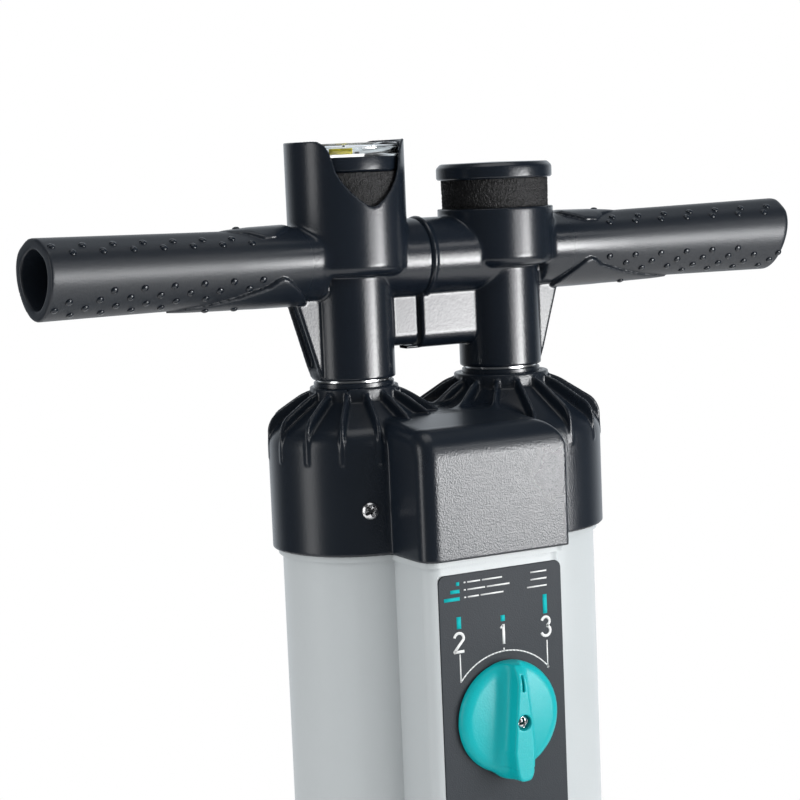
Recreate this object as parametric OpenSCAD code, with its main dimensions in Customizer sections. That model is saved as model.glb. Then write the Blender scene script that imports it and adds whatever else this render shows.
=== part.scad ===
// Twin-cylinder double action hand pump.
// Frame: X along the handle and from the small cylinder to the large one, -Y towards the
// selector knob, Z up. Origin: on the floor, midway between the two cylinder axes.

/* [Cylinders] */
// Distance of each cylinder axis from the centre plane
axis_off = 42; // [40:1:46]
// Outer radius of the small cylinder (left)
tube_r_left = 38.6; // [34:0.2:39]
// Outer radius of the large cylinder (right)
tube_r_right = 44.2; // [40:0.2:45]
// Wall of both cylinders
tube_wall = 3; // [2.4:0.2:4]
// Height of the underside of the black head above the floor
head_z = 395; // [380:1:420]

/* [Head] */
// Radius of the collar over the small cylinder
collar_r_left = 43.3; // [42:0.1:44]
// Radius of the collar over the large cylinder
collar_r_right = 49.3; // [48:0.1:50]
// Left side of the valve box, from the centre plane
box_x_left = -47.3; // [-50:0.1:-45]
// Right side of the valve box, from the centre plane
box_x_right = 31.4; // [28:0.1:34]
// Front of the valve box, from the cylinder plane
box_front = 76.6; // [74:0.1:80]
// Height of the valve box part of the head
box_h = 57; // [54:1:60]

/* [Handle] */
// Height of the handle axis above the underside of the head
handle_rise = 138.4; // [134:0.1:142]
// Radius of the vertical sleeves that hold the rods
sleeve_r = 20.6; // [20:0.1:22]
// Radius of the cross tube between the sleeves
cross_r = 19.2; // [18:0.1:20]
// Radius of both filter cups
cup_r = 29.1; // [28.6:0.1:30]
// Distance of each grip end from the centre plane
grip_end_x = 206; // [190:1:215]
// How far the grip ends are swept to the front
grip_sweep = 14.3; // [8:0.1:18]
// Height of a grip at its end
grip_h = 37.5; // [34:0.5:38]
// Depth of a grip at its end
grip_w = 39; // [36:0.5:40]

/* [Rods and pistons] */
// Outer radius of the hollow rods
rod_r = 18; // [17:0.1:18]
// Wall of the hollow rods
rod_wall = 1.4; // [1.2:0.1:2]
// Height of a piston
piston_h = 24; // [20:1:28]
// Height of the piston underside at rest
piston_z = 30; // [28:1:40]

/* [Selector] */
// Selector axis, from the centre plane
knob_x = -4.2; // [-6:0.1:-2]
// Selector axis, below the underside of the head
knob_drop = 79; // [74:0.5:84]
// Radius of the knob disc
knob_r = 27.3; // [25:0.1:28]
// Radius of the selector shaft
shaft_r = 7; // [6:0.1:8]

/* [Base] */
// Height of the base above its pads
base_h = 44; // [40:1:48]
// Thickness of the rubber pads
pad_h = 4; // [3:0.5:5]
// Reach of each fold-out foot from its hinge
foot_reach = 92; // [80:1:95]
// Depth of each foot, front to back
foot_w = 104; // [90:1:110]

/* [Hidden] */
$fn = 72;
eps = 0.01;
run_gap = 0.05;        // running clearance of a pin or shaft in its bore

bore_left = tube_r_left - tube_wall;
bore_right = tube_r_right - tube_wall;
chest_x_left = box_x_left + 3.3;
chest_x_right = box_x_right - 1.2;
chest_front = box_front - 5.6;
base_z = pad_h;
body_z = base_z + 12;               // cylinders stand this high inside the base
spigot_top = head_z + 34;           // cylinders reach this far up into the head
lip_h = 3;
cone_top = head_z + 78;
shoulder_left = head_z + 57;
shoulder_right = head_z + 53;
cone_r_left = 22.6;
cone_r_right = 24.6;
rib_count = 15;
handle_z = head_z + handle_rise;
sleeve_z = head_z + 81.4;
cup_z = head_z + 131.8;
cup_top_left = head_z + 196.4;
cup_top_right = head_z + 160.7;
cup_in_r = cup_r - 1.5;
cup_floor = cup_z + 7;
cap_z = head_z + 175.1;             // underside of the filter cap
cap_h = 5.5;
gauge_z = head_z + 181.1;           // underside of the gauge ring
gauge_h = 7.3;
dial_z = gauge_z + gauge_h;
web_z = head_z + 101.5;             // where the round lower edge of the web starts
web_half_left = 6.2;                // half depth of the web on each side of the seam
web_half_right = 8;
seam_x = -6.5;                      // where the two handle halves meet
socket_x = -axis_off + cup_r;       // inner end of the socket at the seam
knob_z = head_z - knob_drop;
foot_hinge_left = -98;
foot_hinge_right = 106;
hinge_z = pad_h + 10;
pin_r = 3;
port_z = 84;                        // height of the hose outlet

// Tube standing on z0: outer radius, inner radius, height
module ring(z0, r_out, r_in, h) {
    translate([0, 0, z0])
        difference() {
            cylinder(r = r_out, h = h);
            translate([0, 0, -1]) cylinder(r = r_in, h = h + 2);
        }
}

// Rectangle with rounded corners, between two corners
module round_rect(x0, y0, x1, y1, r) {
    translate([x0 + r, y0]) square([x1 - x0 - 2 * r, y1 - y0]);
    translate([x0, y0 + r]) square([x1 - x0, y1 - y0 - 2 * r]);
    for (x = [x0 + r, x1 - r])
        for (y = [y0 + r, y1 - r])
            translate([x, y]) circle(r = r);
}

// Cross-headed screw along +Z, head on top, with its tip at -len
module cross_screw(r_head, r_shank, len) {
    difference() {
        union() {
            translate([0, 0, -len]) cylinder(r = r_shank, h = len);
            rotate_extrude()
                intersection() {
                    square([r_head, r_head]);
                    translate([0, -r_head * 0.9]) circle(r = r_head * 1.35);
                }
        }
        for (a = [0, 90])
            rotate([0, 0, a])
                translate([-r_head * 0.55, -r_head * 0.13, r_head * 0.12])
                    cube([r_head * 1.1, r_head * 0.26, r_head]);
    }
}

// ---- Pump body ----

// Plan outline of both cylinders and the valve chest, grown by g
module body_plan(g) {
    translate([-axis_off, 0]) circle(r = tube_r_left + g);
    translate([axis_off, 0]) circle(r = tube_r_right + g);
    round_rect(chest_x_left - g, -chest_front - g, chest_x_right + g, 0, 7);
    translate([-20, -20]) square([40, 50]);
}

module cylinder_body() {
    color([0.74, 0.77, 0.78])
        difference() {
            union() {
                translate([0, 0, body_z])
                    linear_extrude(head_z - body_z) body_plan(0);
                translate([0, 0, head_z - lip_h])
                    linear_extrude(lip_h) body_plan(2);
                for (s = [-1, 1])
                    translate([s * axis_off, 0, head_z - eps])
                        cylinder(r = s < 0 ? tube_r_left : tube_r_right, h = spigot_top - head_z);
                translate([knob_x, -chest_front - 1, knob_z])
                    rotate([-90, 0, 0]) cylinder(r = 20, h = 10);
                translate([0, -chest_front - 4, port_z])
                    rotate([-90, 0, 0]) cylinder(r = 21, h = 10);
            }
            for (s = [-1, 1])
                translate([s * axis_off, 0, body_z + 6])
                    cylinder(r = s < 0 ? bore_left : bore_right, h = 600);
            // Air space of the valve chest, in front of the cylinders
            translate([-38, -66, body_z + 8]) cube([62, 18.5, head_z]);
            // Seat of the valve bush
            translate([knob_x, -80, knob_z])
                rotate([-90, 0, 0]) cylinder(r = 16, h = 20);
            // Seat of the hose outlet
            translate([0, -80, port_z])
                rotate([-90, 0, 0]) cylinder(r = 15, h = 20);
            // Air ways from the chest into each cylinder
            for (x = [-26, 16])
                translate([x, -52, body_z + 14])
                    rotate([-90, 0, 0]) cylinder(r = 4.5, h = 26);
            // Pilot holes of the base screws
            for (q = base_screw_places)
                translate([q[0], q[1], body_z - 1]) cylinder(r = 2.05, h = 5);
            // Recess of the label plate
            translate([-38.9, -chest_front - 3, head_z - 158])
                cube([67.8, 3.8, 150.7]);
        }
}

module label_plate() {
    color([0.24, 0.25, 0.27])
        difference() {
            translate([0, -chest_front - 0.2, head_z - 157.8])
                rotate([90, 0, 0])
                    translate([0, 0, -1])
                        linear_extrude(1) round_rect(-38.7, 0, 28.7, 150.3, 4);
            translate([knob_x, -80, knob_z])
                rotate([-90, 0, 0]) cylinder(r = 16.2, h = 20);
        }
}

// ---- Head ----

// Cone with radial ribs over one cylinder
module ribbed_cone(r_collar, r_top, z_shoulder) {
    rise = cone_top - z_shoulder;
    // Height of the ribs' crest line where it reaches the collar
    crest = cone_top - 1 - (r_collar - r_top - 1) * 0.66;
    // Recessed cone between the ribs
    translate([0, 0, z_shoulder - 1])
        cylinder(r1 = r_collar - 1.2, r2 = r_top - 2.2, h = rise - 1);
    // Ring at the top of the cone
    translate([0, 0, cone_top - 7]) cylinder(r = r_top, h = 7);
    for (i = [0 : rib_count - 1])
        rotate([0, 0, (i + 0.5) * 360 / rib_count])
            rotate([90, 0, 0])
                linear_extrude(2.4, center = true)
                    polygon([[r_top - 4, z_shoulder], [r_collar - 4, z_shoulder - 8],
                        [r_collar + 0.2, z_shoulder - 5], [r_collar + 0.2, crest - 4.5],
                        [r_collar - 4, crest + 2.2], [r_top + 1.2, cone_top - 1.1],
                        [r_top - 1, cone_top - 1.1]]);
}

module head() {
    color([0.11, 0.12, 0.14])
        difference() {
            union() {
                translate([-axis_off, 0, head_z])
                    cylinder(r = collar_r_left, h = shoulder_left - head_z);
                translate([axis_off, 0, head_z])
                    cylinder(r = collar_r_right, h = shoulder_right - head_z);
                translate([-axis_off, 0, 0])
                    ribbed_cone(collar_r_left, cone_r_left, shoulder_left);
                translate([axis_off, 0, 0])
                    ribbed_cone(collar_r_right, cone_r_right, shoulder_right);
                translate([0, 0, head_z])
                    linear_extrude(box_h - 3) round_rect(box_x_left, -box_front, box_x_right, 20, 9);
                translate([0, 0, head_z + box_h - 3 - eps])
                    linear_extrude(3) round_rect(box_x_left + 3, -box_front + 3, box_x_right - 3, 0, 7);
                translate([-15, -30, head_z]) cube([30, 60, 50]);
            }
            // Sockets over the cylinders
            for (s = [-1, 1]) {
                r_sock = (s < 0 ? tube_r_left : tube_r_right) + 0.2;
                r_neck = (s < 0 ? cone_r_left : cone_r_right) - 6;
                z_neck = cone_top - 27;
                translate([s * axis_off, 0, head_z - 1])
                    cylinder(r = r_sock, h = spigot_top - head_z + 3);
                translate([s * axis_off, 0, spigot_top + 2 - eps])
                    cylinder(r1 = r_sock, r2 = 25, h = z_neck - spigot_top - 2);
                translate([s * axis_off, 0, z_neck - eps])
                    cylinder(r1 = 25, r2 = r_neck + 2, h = 4);
                translate([s * axis_off, 0, 0])
                    cylinder(r = rod_r + 2.6, h = 600);
            }
            // Air space inside the valve box
            translate([-42, -72.5, head_z - 1]) cube([70, 28, box_h - 8]);
            // Screw holes, straight into the collar walls
            for (q = head_screw_places) head_screw_at(q) cylinder(r = 1.9, h = 30, center = true);
        }
}

// Each head screw: side (-1 left, 1 right) and bearing from -Y, in degrees
head_screw_places = [[-1, -20], [-1, -135], [-1, 150], [1, 100], [1, 150], [1, -135]];

module head_screw_at(q) {
    r = q[0] < 0 ? collar_r_left : collar_r_right;
    translate([q[0] * axis_off, 0, head_z + 22])
        rotate([0, 0, q[1]])
            translate([0, -r, 0])
                rotate([90, 0, 0]) children();
}

module head_screws() {
    color([0.78, 0.79, 0.8])
        for (q = head_screw_places)
            head_screw_at(q) cross_screw(4.1, 1.8, 4);
}

module head_gasket() {
    color([0.08, 0.08, 0.09])
        translate([0, 0, head_z])
            difference() {
                translate([-41.5, -70.5, 0]) cube([69, 25.5, 1.6]);
                translate([-37.5, -65.5, -1]) cube([61, 17.5, 4]);
            }
}

module rod_guide(s) {
    color([0.85, 0.85, 0.82])
        translate([s * axis_off, 0, 0]) {
            ring(cone_top - 22, rod_r + 2.5, rod_r + run_gap, 18);
            ring(cone_top - 24, rod_r + 2.5, rod_r + run_gap, 2 + eps);
        }
}

module rod_wiper(s) {
    color([0.07, 0.07, 0.08])
        translate([s * axis_off, 0, 0])
            ring(cone_top - 3.8, rod_r + 2.5, rod_r + run_gap, 3.4);
}

// ---- Selector ----

module at_knob() {
    translate([knob_x, 0, knob_z]) rotate([90, 0, 0]) children();
}

module valve_bush() {
    color([0.3, 0.31, 0.33])
        at_knob()
            difference() {
                translate([0, 0, 60.4]) cylinder(r = 15.8, h = 12);
                translate([0, 0, 50]) cylinder(r = shaft_r + run_gap, h = 40);
            }
}

module valve_rotor() {
    color([0.88, 0.88, 0.86])
        at_knob()
            difference() {
                union() {
                    translate([0, 0, 49.5]) cylinder(r = 17, h = 10.3);
                    translate([0, 0, 49.5]) cylinder(r = shaft_r, h = 28);
                }
                // Blind hole for the knob screw
                translate([0, 0, 66]) cylinder(r = 1.7, h = 20);
                // Grooves for the O-rings
                for (z = [63, 68]) ring(z, 12, shaft_r - 1.2, 2);
                // Port through the drum
                translate([9, 0, 45]) cylinder(r = 4, h = 20);
            }
}

module rotor_seals() {
    color([0.07, 0.07, 0.08])
        at_knob()
            for (z = [64, 69])
                translate([0, 0, z])
                    rotate_extrude() translate([shaft_r - 0.55, 0]) circle(r = 0.58, $fn = 24);
}

module selector_knob() {
    color([0.05, 0.66, 0.66])
        at_knob()
            difference() {
                union() {
                    translate([0, 0, 73.2]) cylinder(r = knob_r, h = 3);
                    translate([0, 0, 76.2 - eps]) cylinder(r1 = knob_r, r2 = knob_r - 5, h = 3);
                    // Grip ridge, narrow at the pointer and wide below
                    translate([0, 0, 79])
                        linear_extrude(8.5)
                            polygon([[-2.2, knob_r - 3], [2.2, knob_r - 3], [5.6, -4],
                                [6.2, -18], [5, -26], [2.5, -28.5], [-2.5, -28.5], [-5, -26],
                                [-6.2, -18], [-5.6, -4]]);
                    translate([0, -knob_r + 6, 73.2]) cylinder(r = 7, h = 9);
                }
                // Socket on the shaft
                translate([0, 0, 70]) cylinder(r = shaft_r + 0.02, h = 7.6);
                // Screw hole and counterbore
                translate([0, 0, 70]) cylinder(r = 2.1, h = 40);
                translate([0, 0, 84.5]) cylinder(r = 3.8, h = 20);
                // Pointer slot
                translate([-0.5, knob_r - 13, 85.5]) cube([1, 8.5, 5]);
            }
}

module knob_screw() {
    color([0.78, 0.79, 0.8])
        at_knob()
            translate([0, 0, 84.5]) cross_screw(3.5, 1.6, 16);
}

// ---- Hose outlet ----

module at_port() {
    translate([0, 0, port_z]) rotate([90, 0, 0]) children();
}

module outlet_port() {
    color([0.11, 0.12, 0.14])
        at_port()
            difference() {
                union() {
                    translate([0, 0, 66.2]) cylinder(r = 14.8, h = 34);
                    translate([0, 0, 75.2]) cylinder(r = 19, h = 4);
                    // Three thread ridges
                    for (i = [0 : 2])
                        translate([0, 0, 84 + 5 * i])
                            cylinder(r1 = 14.8, r2 = 16.4, h = 1.2);
                    for (i = [0 : 2])
                        translate([0, 0, 85.2 + 5 * i - eps])
                            cylinder(r1 = 16.4, r2 = 14.8, h = 1.2);
                }
                translate([0, 0, 76]) cylinder(r = 10.2, h = 40);
                translate([0, 0, 79]) cylinder(r = 11, h = 40);
                // Holes of the valve seat
                for (a = [0 : 60 : 300])
                    rotate([0, 0, a]) translate([6, 0, 60]) cylinder(r = 2, h = 30);
                // Seat of the valve stem
                translate([0, 0, 60]) cylinder(r = 1.55, h = 30);
                // Groove for the O-ring
                ring(80.2, 20, 13.3, 2.6);
            }
}

module outlet_seal() {
    color([0.07, 0.07, 0.08])
        at_port()
            translate([0, 0, 81.5])
                rotate_extrude() translate([14.4, 0]) circle(r = 1.1, $fn = 24);
}

module outlet_valve() {
    color([0.62, 0.12, 0.1])
        at_port() {
            translate([0, 0, 76.05]) cylinder(r = 9.6, h = 1.4);
            translate([0, 0, 62]) cylinder(r = 1.5, h = 15);
            translate([0, 0, 61]) cylinder(r = 3, h = 1.6);
        }
}

// ---- Base and feet ----

// Platform under the cylinders, shrunk by g
module platform_plan(g) {
    round_rect(-90 + g, -50 + g, 98 - g, 50 - g, 14 - g / 2);
    round_rect(chest_x_left - 4 + g, -chest_front - 8 + g, chest_x_right + 4 - g, 0, 10 - g / 2);
}

// Collar of the base round the cylinders and the chest
module base_collar_plan() {
    translate([-axis_off, 0]) circle(r = tube_r_left + 4);
    translate([axis_off, 0]) circle(r = tube_r_right + 4);
    round_rect(chest_x_left - 4, -chest_front - 4, chest_x_right + 4, 30, 8);
}

module base() {
    color([0.11, 0.12, 0.14])
        difference() {
            union() {
                translate([0, 0, base_z]) linear_extrude(14) platform_plan(0);
                translate([0, 0, base_z]) linear_extrude(base_h) base_collar_plan();
                // Hinge lugs, two for each foot
                for (s = [-1, 1])
                    for (y = [-44, 36]) {
                        x = s < 0 ? foot_hinge_left : foot_hinge_right;
                        x_in = s < 0 ? -84 : 92;
                        translate([min(x, x_in), y, base_z])
                            cube([abs(x - x_in), 8, hinge_z + pin_r]);
                        translate([x, y, hinge_z])
                            rotate([-90, 0, 0]) cylinder(r = 7, h = 8);
                    }
            }
            // Socket for the cylinders and the chest
            translate([0, 0, body_z]) linear_extrude(base_h + 20) body_plan(0.3);
            // Hinge pin holes
            for (x = [foot_hinge_left, foot_hinge_right])
                translate([x, -60, hinge_z])
                    rotate([-90, 0, 0]) cylinder(r = pin_r + run_gap, h = 120);
            // Screw holes up into the cylinders
            for (q = base_screw_places)
                translate([q[0], q[1], 0]) cylinder(r = 2.1, h = 40);
            for (q = base_screw_places)
                translate([q[0], q[1], 0]) cylinder(r = 4.6, h = base_z + 4);
        }
}

base_screw_places = [[-60, 0], [-30, 0], [30, 0], [64, 0], [-30, -60], [18, -60]];

module base_screws() {
    color([0.78, 0.79, 0.8])
        for (q = base_screw_places)
            translate([q[0], q[1], base_z + 3.9])
                rotate([180, 0, 0]) cross_screw(3.9, 2, 9.5);
}

module base_pad() {
    color([0.06, 0.06, 0.07])
        difference() {
            linear_extrude(pad_h) platform_plan(6);
            for (q = base_screw_places)
                translate([q[0], q[1], -1]) cylinder(r = 5.5, h = 10);
        }
}

module foot(s) {
    x = s < 0 ? foot_hinge_left : foot_hinge_right;
    color([0.11, 0.12, 0.14])
        translate([x, 0, 0]) scale_side(s)
            difference() {
                union() {
                    // Tread plate with a raised rim
                    translate([10, -foot_w / 2, pad_h])
                        cube([foot_reach - 26, foot_w, 5]);
                    translate([foot_reach - 36, 0, pad_h])
                        linear_extrude(5) round_rect(0, -foot_w / 2, 36, foot_w / 2, 16);
                    translate([foot_reach - 36, 0, pad_h])
                        linear_extrude(9)
                            difference() {
                                round_rect(0, -foot_w / 2, 36, foot_w / 2, 16);
                                round_rect(-20, -foot_w / 2 + 3, 33, foot_w / 2 - 3, 13);
                            }
                    for (y = [-foot_w / 2, foot_w / 2 - 3])
                        translate([10, y, pad_h]) cube([foot_reach - 30, 3, 9]);
                    // Tread bars
                    for (i = [0 : 6])
                        translate([18 + 9 * i, -foot_w / 2 + 12, pad_h + 5 - eps])
                            cube([3, foot_w - 24, 1.5]);
                    // Knuckle between the lugs
                    translate([0, -34, hinge_z])
                        rotate([-90, 0, 0]) cylinder(r = 6.5, h = 68);
                    translate([0, -34, pad_h]) cube([14, 68, 10]);
                }
                translate([0, -60, hinge_z])
                    rotate([-90, 0, 0]) cylinder(r = pin_r + run_gap, h = 120);
                // Clearance round the base body
                translate([-30, -60, -1]) cube([23.4, 120, 60]);
            }
}

// A foot is drawn towards +X; the left one is mirrored
module scale_side(s) {
    if (s < 0) mirror([1, 0, 0]) children();
    else children();
}

module foot_pad(s) {
    x = s < 0 ? foot_hinge_left : foot_hinge_right;
    color([0.06, 0.06, 0.07])
        translate([x, 0, 0]) scale_side(s)
            linear_extrude(pad_h) round_rect(24, -foot_w / 2 + 6, foot_reach - 5, foot_w / 2 - 6, 8);
}

module hinge_pin(s) {
    color([0.7, 0.71, 0.72])
        translate([s < 0 ? foot_hinge_left : foot_hinge_right, -44, hinge_z])
            rotate([-90, 0, 0]) cylinder(r = pin_r, h = 88);
}

// ---- Handle ----

// Section of a grip in its own plane: wide above, narrow below
function egg(w, h, n = 36) = [for (i = [0 : n - 1])
    let (t = 360 * i / n)
    [w / 2 * sin(t) * (1 + 0.16 * cos(t)), h / 2 * cos(t)]];

// Thin slab of the grip section, at distance x, swept forward y, turned by a
module grip_slab(x, y, a, w, h) {
    translate([x, -y, handle_z])
        rotate([0, 0, -a])
            rotate([90, 0, 90])
                linear_extrude(0.5, center = true) polygon(egg(w, h));
}

// One grip towards +X: shrunk by g, from x_in to over past the grip end
module grip(g, x_in, over) {
    hull() {
        grip_slab(x_in, 0.4, 0, 35 - 2 * g, 34 - 2 * g);
        grip_slab(140, grip_sweep * 0.38, 5.5, 37 - 2 * g, 36 - 2 * g);
    }
    hull() {
        grip_slab(140, grip_sweep * 0.38, 5.5, 37 - 2 * g, 36 - 2 * g);
        grip_slab(grip_end_x + over, grip_sweep + over * 0.16, 9, grip_w - 2 * g, grip_h - 2 * g);
    }
}

// Cup with a rounded lower edge, floor and rod sleeve, on the Z axis
module cup_solid(z_top) {
    rotate_extrude()
        union() {
            translate([0, cup_z + 5]) square([cup_r, z_top - cup_z - 5]);
            translate([0, cup_z]) square([cup_r - 5, 10]);
            intersection() {
                translate([cup_r - 5, cup_z + 5]) circle(r = 5);
                translate([0, cup_z]) square([cup_r, 20]);
            }
        }
    translate([0, 0, sleeve_z]) cylinder(r = sleeve_r, h = cup_z - sleeve_z + 2);
}

// Notch through which the gauge is read, front and back
module gauge_notch() {
    translate([-axis_off, 40, 0])
        rotate([90, 0, 0])
            linear_extrude(80)
                polygon([[-26, cup_top_left + 1], [-22, cup_top_left - 1.5], [-19.4, cup_top_left - 4],
                    [-17.2, cup_top_left - 8.5], [-15.8, cup_top_left - 14],
                    [-13.6, cup_top_left - 19], [-9.5, cup_top_left - 25.5],
                    [-4.5, cup_top_left - 30], [0, cup_top_left - 31.2],
                    [4.5, cup_top_left - 30], [9.5, cup_top_left - 25.5],
                    [13.6, cup_top_left - 19], [15.8, cup_top_left - 14],
                    [17.2, cup_top_left - 8.5], [19.4, cup_top_left - 4],
                    [22, cup_top_left - 1.5], [26, cup_top_left + 1]]);
}

// Outboard gusset between sleeve and grip, drawn towards +X from a sleeve axis
module gusset() {
    rotate([90, 0, 0])
        linear_extrude(14, center = true)
            polygon([[10, sleeve_z + 6], [20.3, sleeve_z + 0.5], [22.9, sleeve_z + 6],
                [33.8, handle_z - 18], [34.5, handle_z - 12], [10, handle_z - 8]]);
}

// Slab between the sleeves from x0 to x1, half as deep as given, with a round lower edge
module web(x0, x1, half) {
    translate([x0, -half, web_z]) cube([x1 - x0, 2 * half, handle_z - 10 - web_z]);
    translate([x0, 0, web_z]) rotate([0, 90, 0]) cylinder(r = half, h = x1 - x0);
}

// Hollow of the cross tube, the rod bore and the cup
module handle_hollows(s, z_top) {
    translate([s * axis_off, 0, sleeve_z - 1])
        cylinder(r = rod_r + 0.08, h = cup_z - sleeve_z + 2);
    translate([s * axis_off, 0, cup_z]) cylinder(r = 13, h = 20);
    translate([s * axis_off, 0, cup_floor]) cylinder(r = cup_in_r, h = z_top - cup_floor + 5);
}

// Where each rod is screwed to its sleeve, from behind
module at_rod_screw(s) {
    translate([s * axis_off, sleeve_r - 0.6, handle_z - 32]) rotate([-90, 0, 0]) children();
}

module handle_left() {
    color([0.12, 0.13, 0.15])
        difference() {
            union() {
                translate([-axis_off, 0, 0]) cup_solid(cup_top_left);
                translate([-axis_off, 0, handle_z])
                    rotate([0, 90, 0]) cylinder(r = cross_r, h = axis_off + seam_x - 0.1);
                mirror([1, 0, 0]) grip(0, axis_off, 0);
                translate([-axis_off, 0, 0]) mirror([1, 0, 0]) gusset();
                web(-axis_off, seam_x - 1.7, web_half_left);
            }
            handle_hollows(-1, cup_top_left);
            gauge_notch();
            mirror([1, 0, 0]) grip(5, 84, 2);
            translate([socket_x, 0, handle_z]) rotate([0, 90, 0]) cylinder(r = 16, h = 30);
            rod_screw_hole(-1);
            handle_screw_holes();
        }
}

// Through hole and counterbore of a rod screw
module rod_screw_hole(s) {
    at_rod_screw(s) cylinder(r = 1.55, h = 20, center = true);
    at_rod_screw(s) cylinder(r = 3.2, h = 5);
}

// Screws through both halves behind the seam, above and below the handle axis
module at_handle_screws() {
    for (z = [-10, 10])
        translate([seam_x - 3.4, cross_r - 4.6, handle_z + z]) rotate([-90, 0, 0]) children();
}

module handle_screw_holes() {
    at_handle_screws() cylinder(r = 1.6, h = 20, center = true);
    at_handle_screws() cylinder(r = 2.85, h = 10);
}

module handle_right() {
    color([0.12, 0.13, 0.15])
        difference() {
            union() {
                translate([axis_off, 0, 0]) cup_solid(cup_top_right);
                translate([seam_x, 0, handle_z])
                    rotate([0, 90, 0]) cylinder(r = cross_r, h = axis_off - seam_x);
                // Bead round the seam
                translate([seam_x, 0, handle_z])
                    rotate([0, 90, 0]) cylinder(r = cross_r + 0.7, h = 3);
                // Spigot that reaches into the other half
                translate([socket_x + 0.4, 0, handle_z])
                    rotate([0, 90, 0]) cylinder(r = 15.8, h = seam_x - socket_x + 3);
                grip(0, axis_off, 0);
                translate([axis_off, 0, 0]) gusset();
                web(seam_x + 0.1, axis_off, web_half_right);
                // Lip under the other half's web
                translate([seam_x - 9, -4, web_z - web_half_right])
                    cube([10, 8, web_half_right - web_half_left - 0.2]);
            }
            handle_hollows(1, cup_top_right);
            grip(5, 84, 2);
            translate([socket_x - 1, 0, handle_z]) rotate([0, 90, 0]) cylinder(r = 13, h = 24);
            rod_screw_hole(1);
            handle_screw_holes();
        }
}

module handle_screws() {
    color([0.78, 0.79, 0.8])
        at_handle_screws() cross_screw(2.6, 1.5, 6);
}

module rod(s) {
    color([0.8, 0.81, 0.82])
        difference() {
            translate([s * axis_off, 0, 0])
                ring(piston_z + 8, rod_r, rod_r - rod_wall, cup_z - piston_z - 8);
            at_rod_screw(s) cylinder(r = 1.55, h = 20, center = true);
        }
}

module rod_screws() {
    color([0.78, 0.79, 0.8])
        for (s = [-1, 1]) at_rod_screw(s) cross_screw(3, 1.5, 5);
}

// ---- Pistons ----

module piston(s) {
    r = s < 0 ? bore_left : bore_right;
    color([0.86, 0.86, 0.84])
        translate([s * axis_off, 0, piston_z])
            difference() {
                union() {
                    cylinder(r = r - 0.6, h = piston_h);
                    translate([0, 0, 4]) cylinder(r = rod_r + 4, h = piston_h + 6);
                }
                // Groove for the piston seal
                ring(9, r + 1, r - 4, 5);
                // Socket for the rod
                translate([0, 0, 8]) cylinder(r = rod_r + 0.05, h = 60);
                // Holes of the valve seat
                for (a = [0 : 60 : 300])
                    rotate([0, 0, a]) translate([9, 0, -1]) cylinder(r = 2.6, h = 20);
                translate([0, 0, -1]) cylinder(r = 1.55, h = 20);
            }
}

module piston_seal(s) {
    r = s < 0 ? bore_left : bore_right;
    color([0.07, 0.07, 0.08])
        translate([s * axis_off, 0, 0])
            ring(piston_z + 9.3, r - run_gap, r - 3.8, 4.4);
}

// Rubber disc under the piston that lets air out of the hollow rod
module piston_valve(s) {
    color([0.62, 0.12, 0.1])
        translate([s * axis_off, 0, piston_z]) {
            translate([0, 0, -1.55]) cylinder(r = 13, h = 1.5);
            translate([0, 0, -1]) cylinder(r = 1.5, h = 12);
            translate([0, 0, 10.2]) cylinder(r = 3.4, h = 1.6);
        }
}

// ---- Filters and cap ----

module filter_left() {
    color([0.05, 0.05, 0.06])
        translate([-axis_off, 0, 0])
            ring(cup_floor + 0.05, cup_in_r - 0.3, 13.2, gauge_z - cup_floor - 0.2);
}

module filter_right() {
    color([0.05, 0.05, 0.06])
        translate([axis_off, 0, 0])
            ring(cup_floor + 0.05, cup_in_r - 0.3, 11, cap_z - cup_floor - 0.15);
}

module filter_cap() {
    edge = 2;
    color([0.11, 0.12, 0.14])
        translate([axis_off, 0, 0]) {
            rotate_extrude()
                union() {
                    translate([0, cap_z]) square([cup_r - edge, cap_h]);
                    translate([0, cap_z]) square([cup_r, cap_h - edge]);
                    translate([cup_r - edge, cap_z + cap_h - edge]) circle(r = edge);
                }
            // Stem through the foam, down to the cup floor
            translate([0, 0, cup_floor + 0.3]) cylinder(r = 10.6, h = cap_z + 1 - cup_floor);
        }
}

// ---- Gauge ----

module gauge_body() {
    color([0.09, 0.1, 0.11])
        translate([-axis_off, 0, 0])
            difference() {
                union() {
                    translate([0, 0, gauge_z]) cylinder(r = 26.2, h = gauge_h);
                    translate([0, 0, cup_z - 12]) cylinder(r = 12.8, h = gauge_z + 1 - cup_z + 12);
                }
                translate([0, 0, cup_z - 13]) cylinder(r = 3, h = gauge_z - cup_z + 8);
                ring(cup_z + 2, 20, 10.9, 2.4);
            }
}

module gauge_seal() {
    color([0.07, 0.07, 0.08])
        translate([-axis_off, 0, cup_z + 3.2])
            rotate_extrude() translate([11.95, 0]) circle(r = 0.98, $fn = 24);
}

module gauge_dial() {
    color([0.92, 0.92, 0.88])
        translate([-axis_off, 0, 0]) ring(dial_z, 24.4, 1.2, 1);
}

module gauge_lens() {
    color([0.9, 0.95, 0.95, 0.4])
        translate([-axis_off, 0, 0])
            difference() {
                translate([0, 0, dial_z]) cylinder(r = 26.4, h = 6.6);
                translate([0, 0, dial_z - 0.1]) cylinder(r = 24.6, h = 5.3);
            }
}

module gauge_pivot() {
    color([0.7, 0.71, 0.72])
        translate([-axis_off, 0, dial_z]) cylinder(r = 1, h = 4.4);
}

module gauge_needle() {
    color([0.75, 0.1, 0.08])
        translate([-axis_off, 0, dial_z + 1.6])
            difference() {
                union() {
                    cylinder(r = 3, h = 1.4);
                    linear_extrude(0.8) polygon([[-19, 0.6], [-19, -0.6], [0, -1.6], [7, -1.2], [7, 1.2], [0, 1.6]]);
                }
                translate([0, 0, -1]) cylinder(r = 1 + run_gap, h = 6);
            }
}

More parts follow.
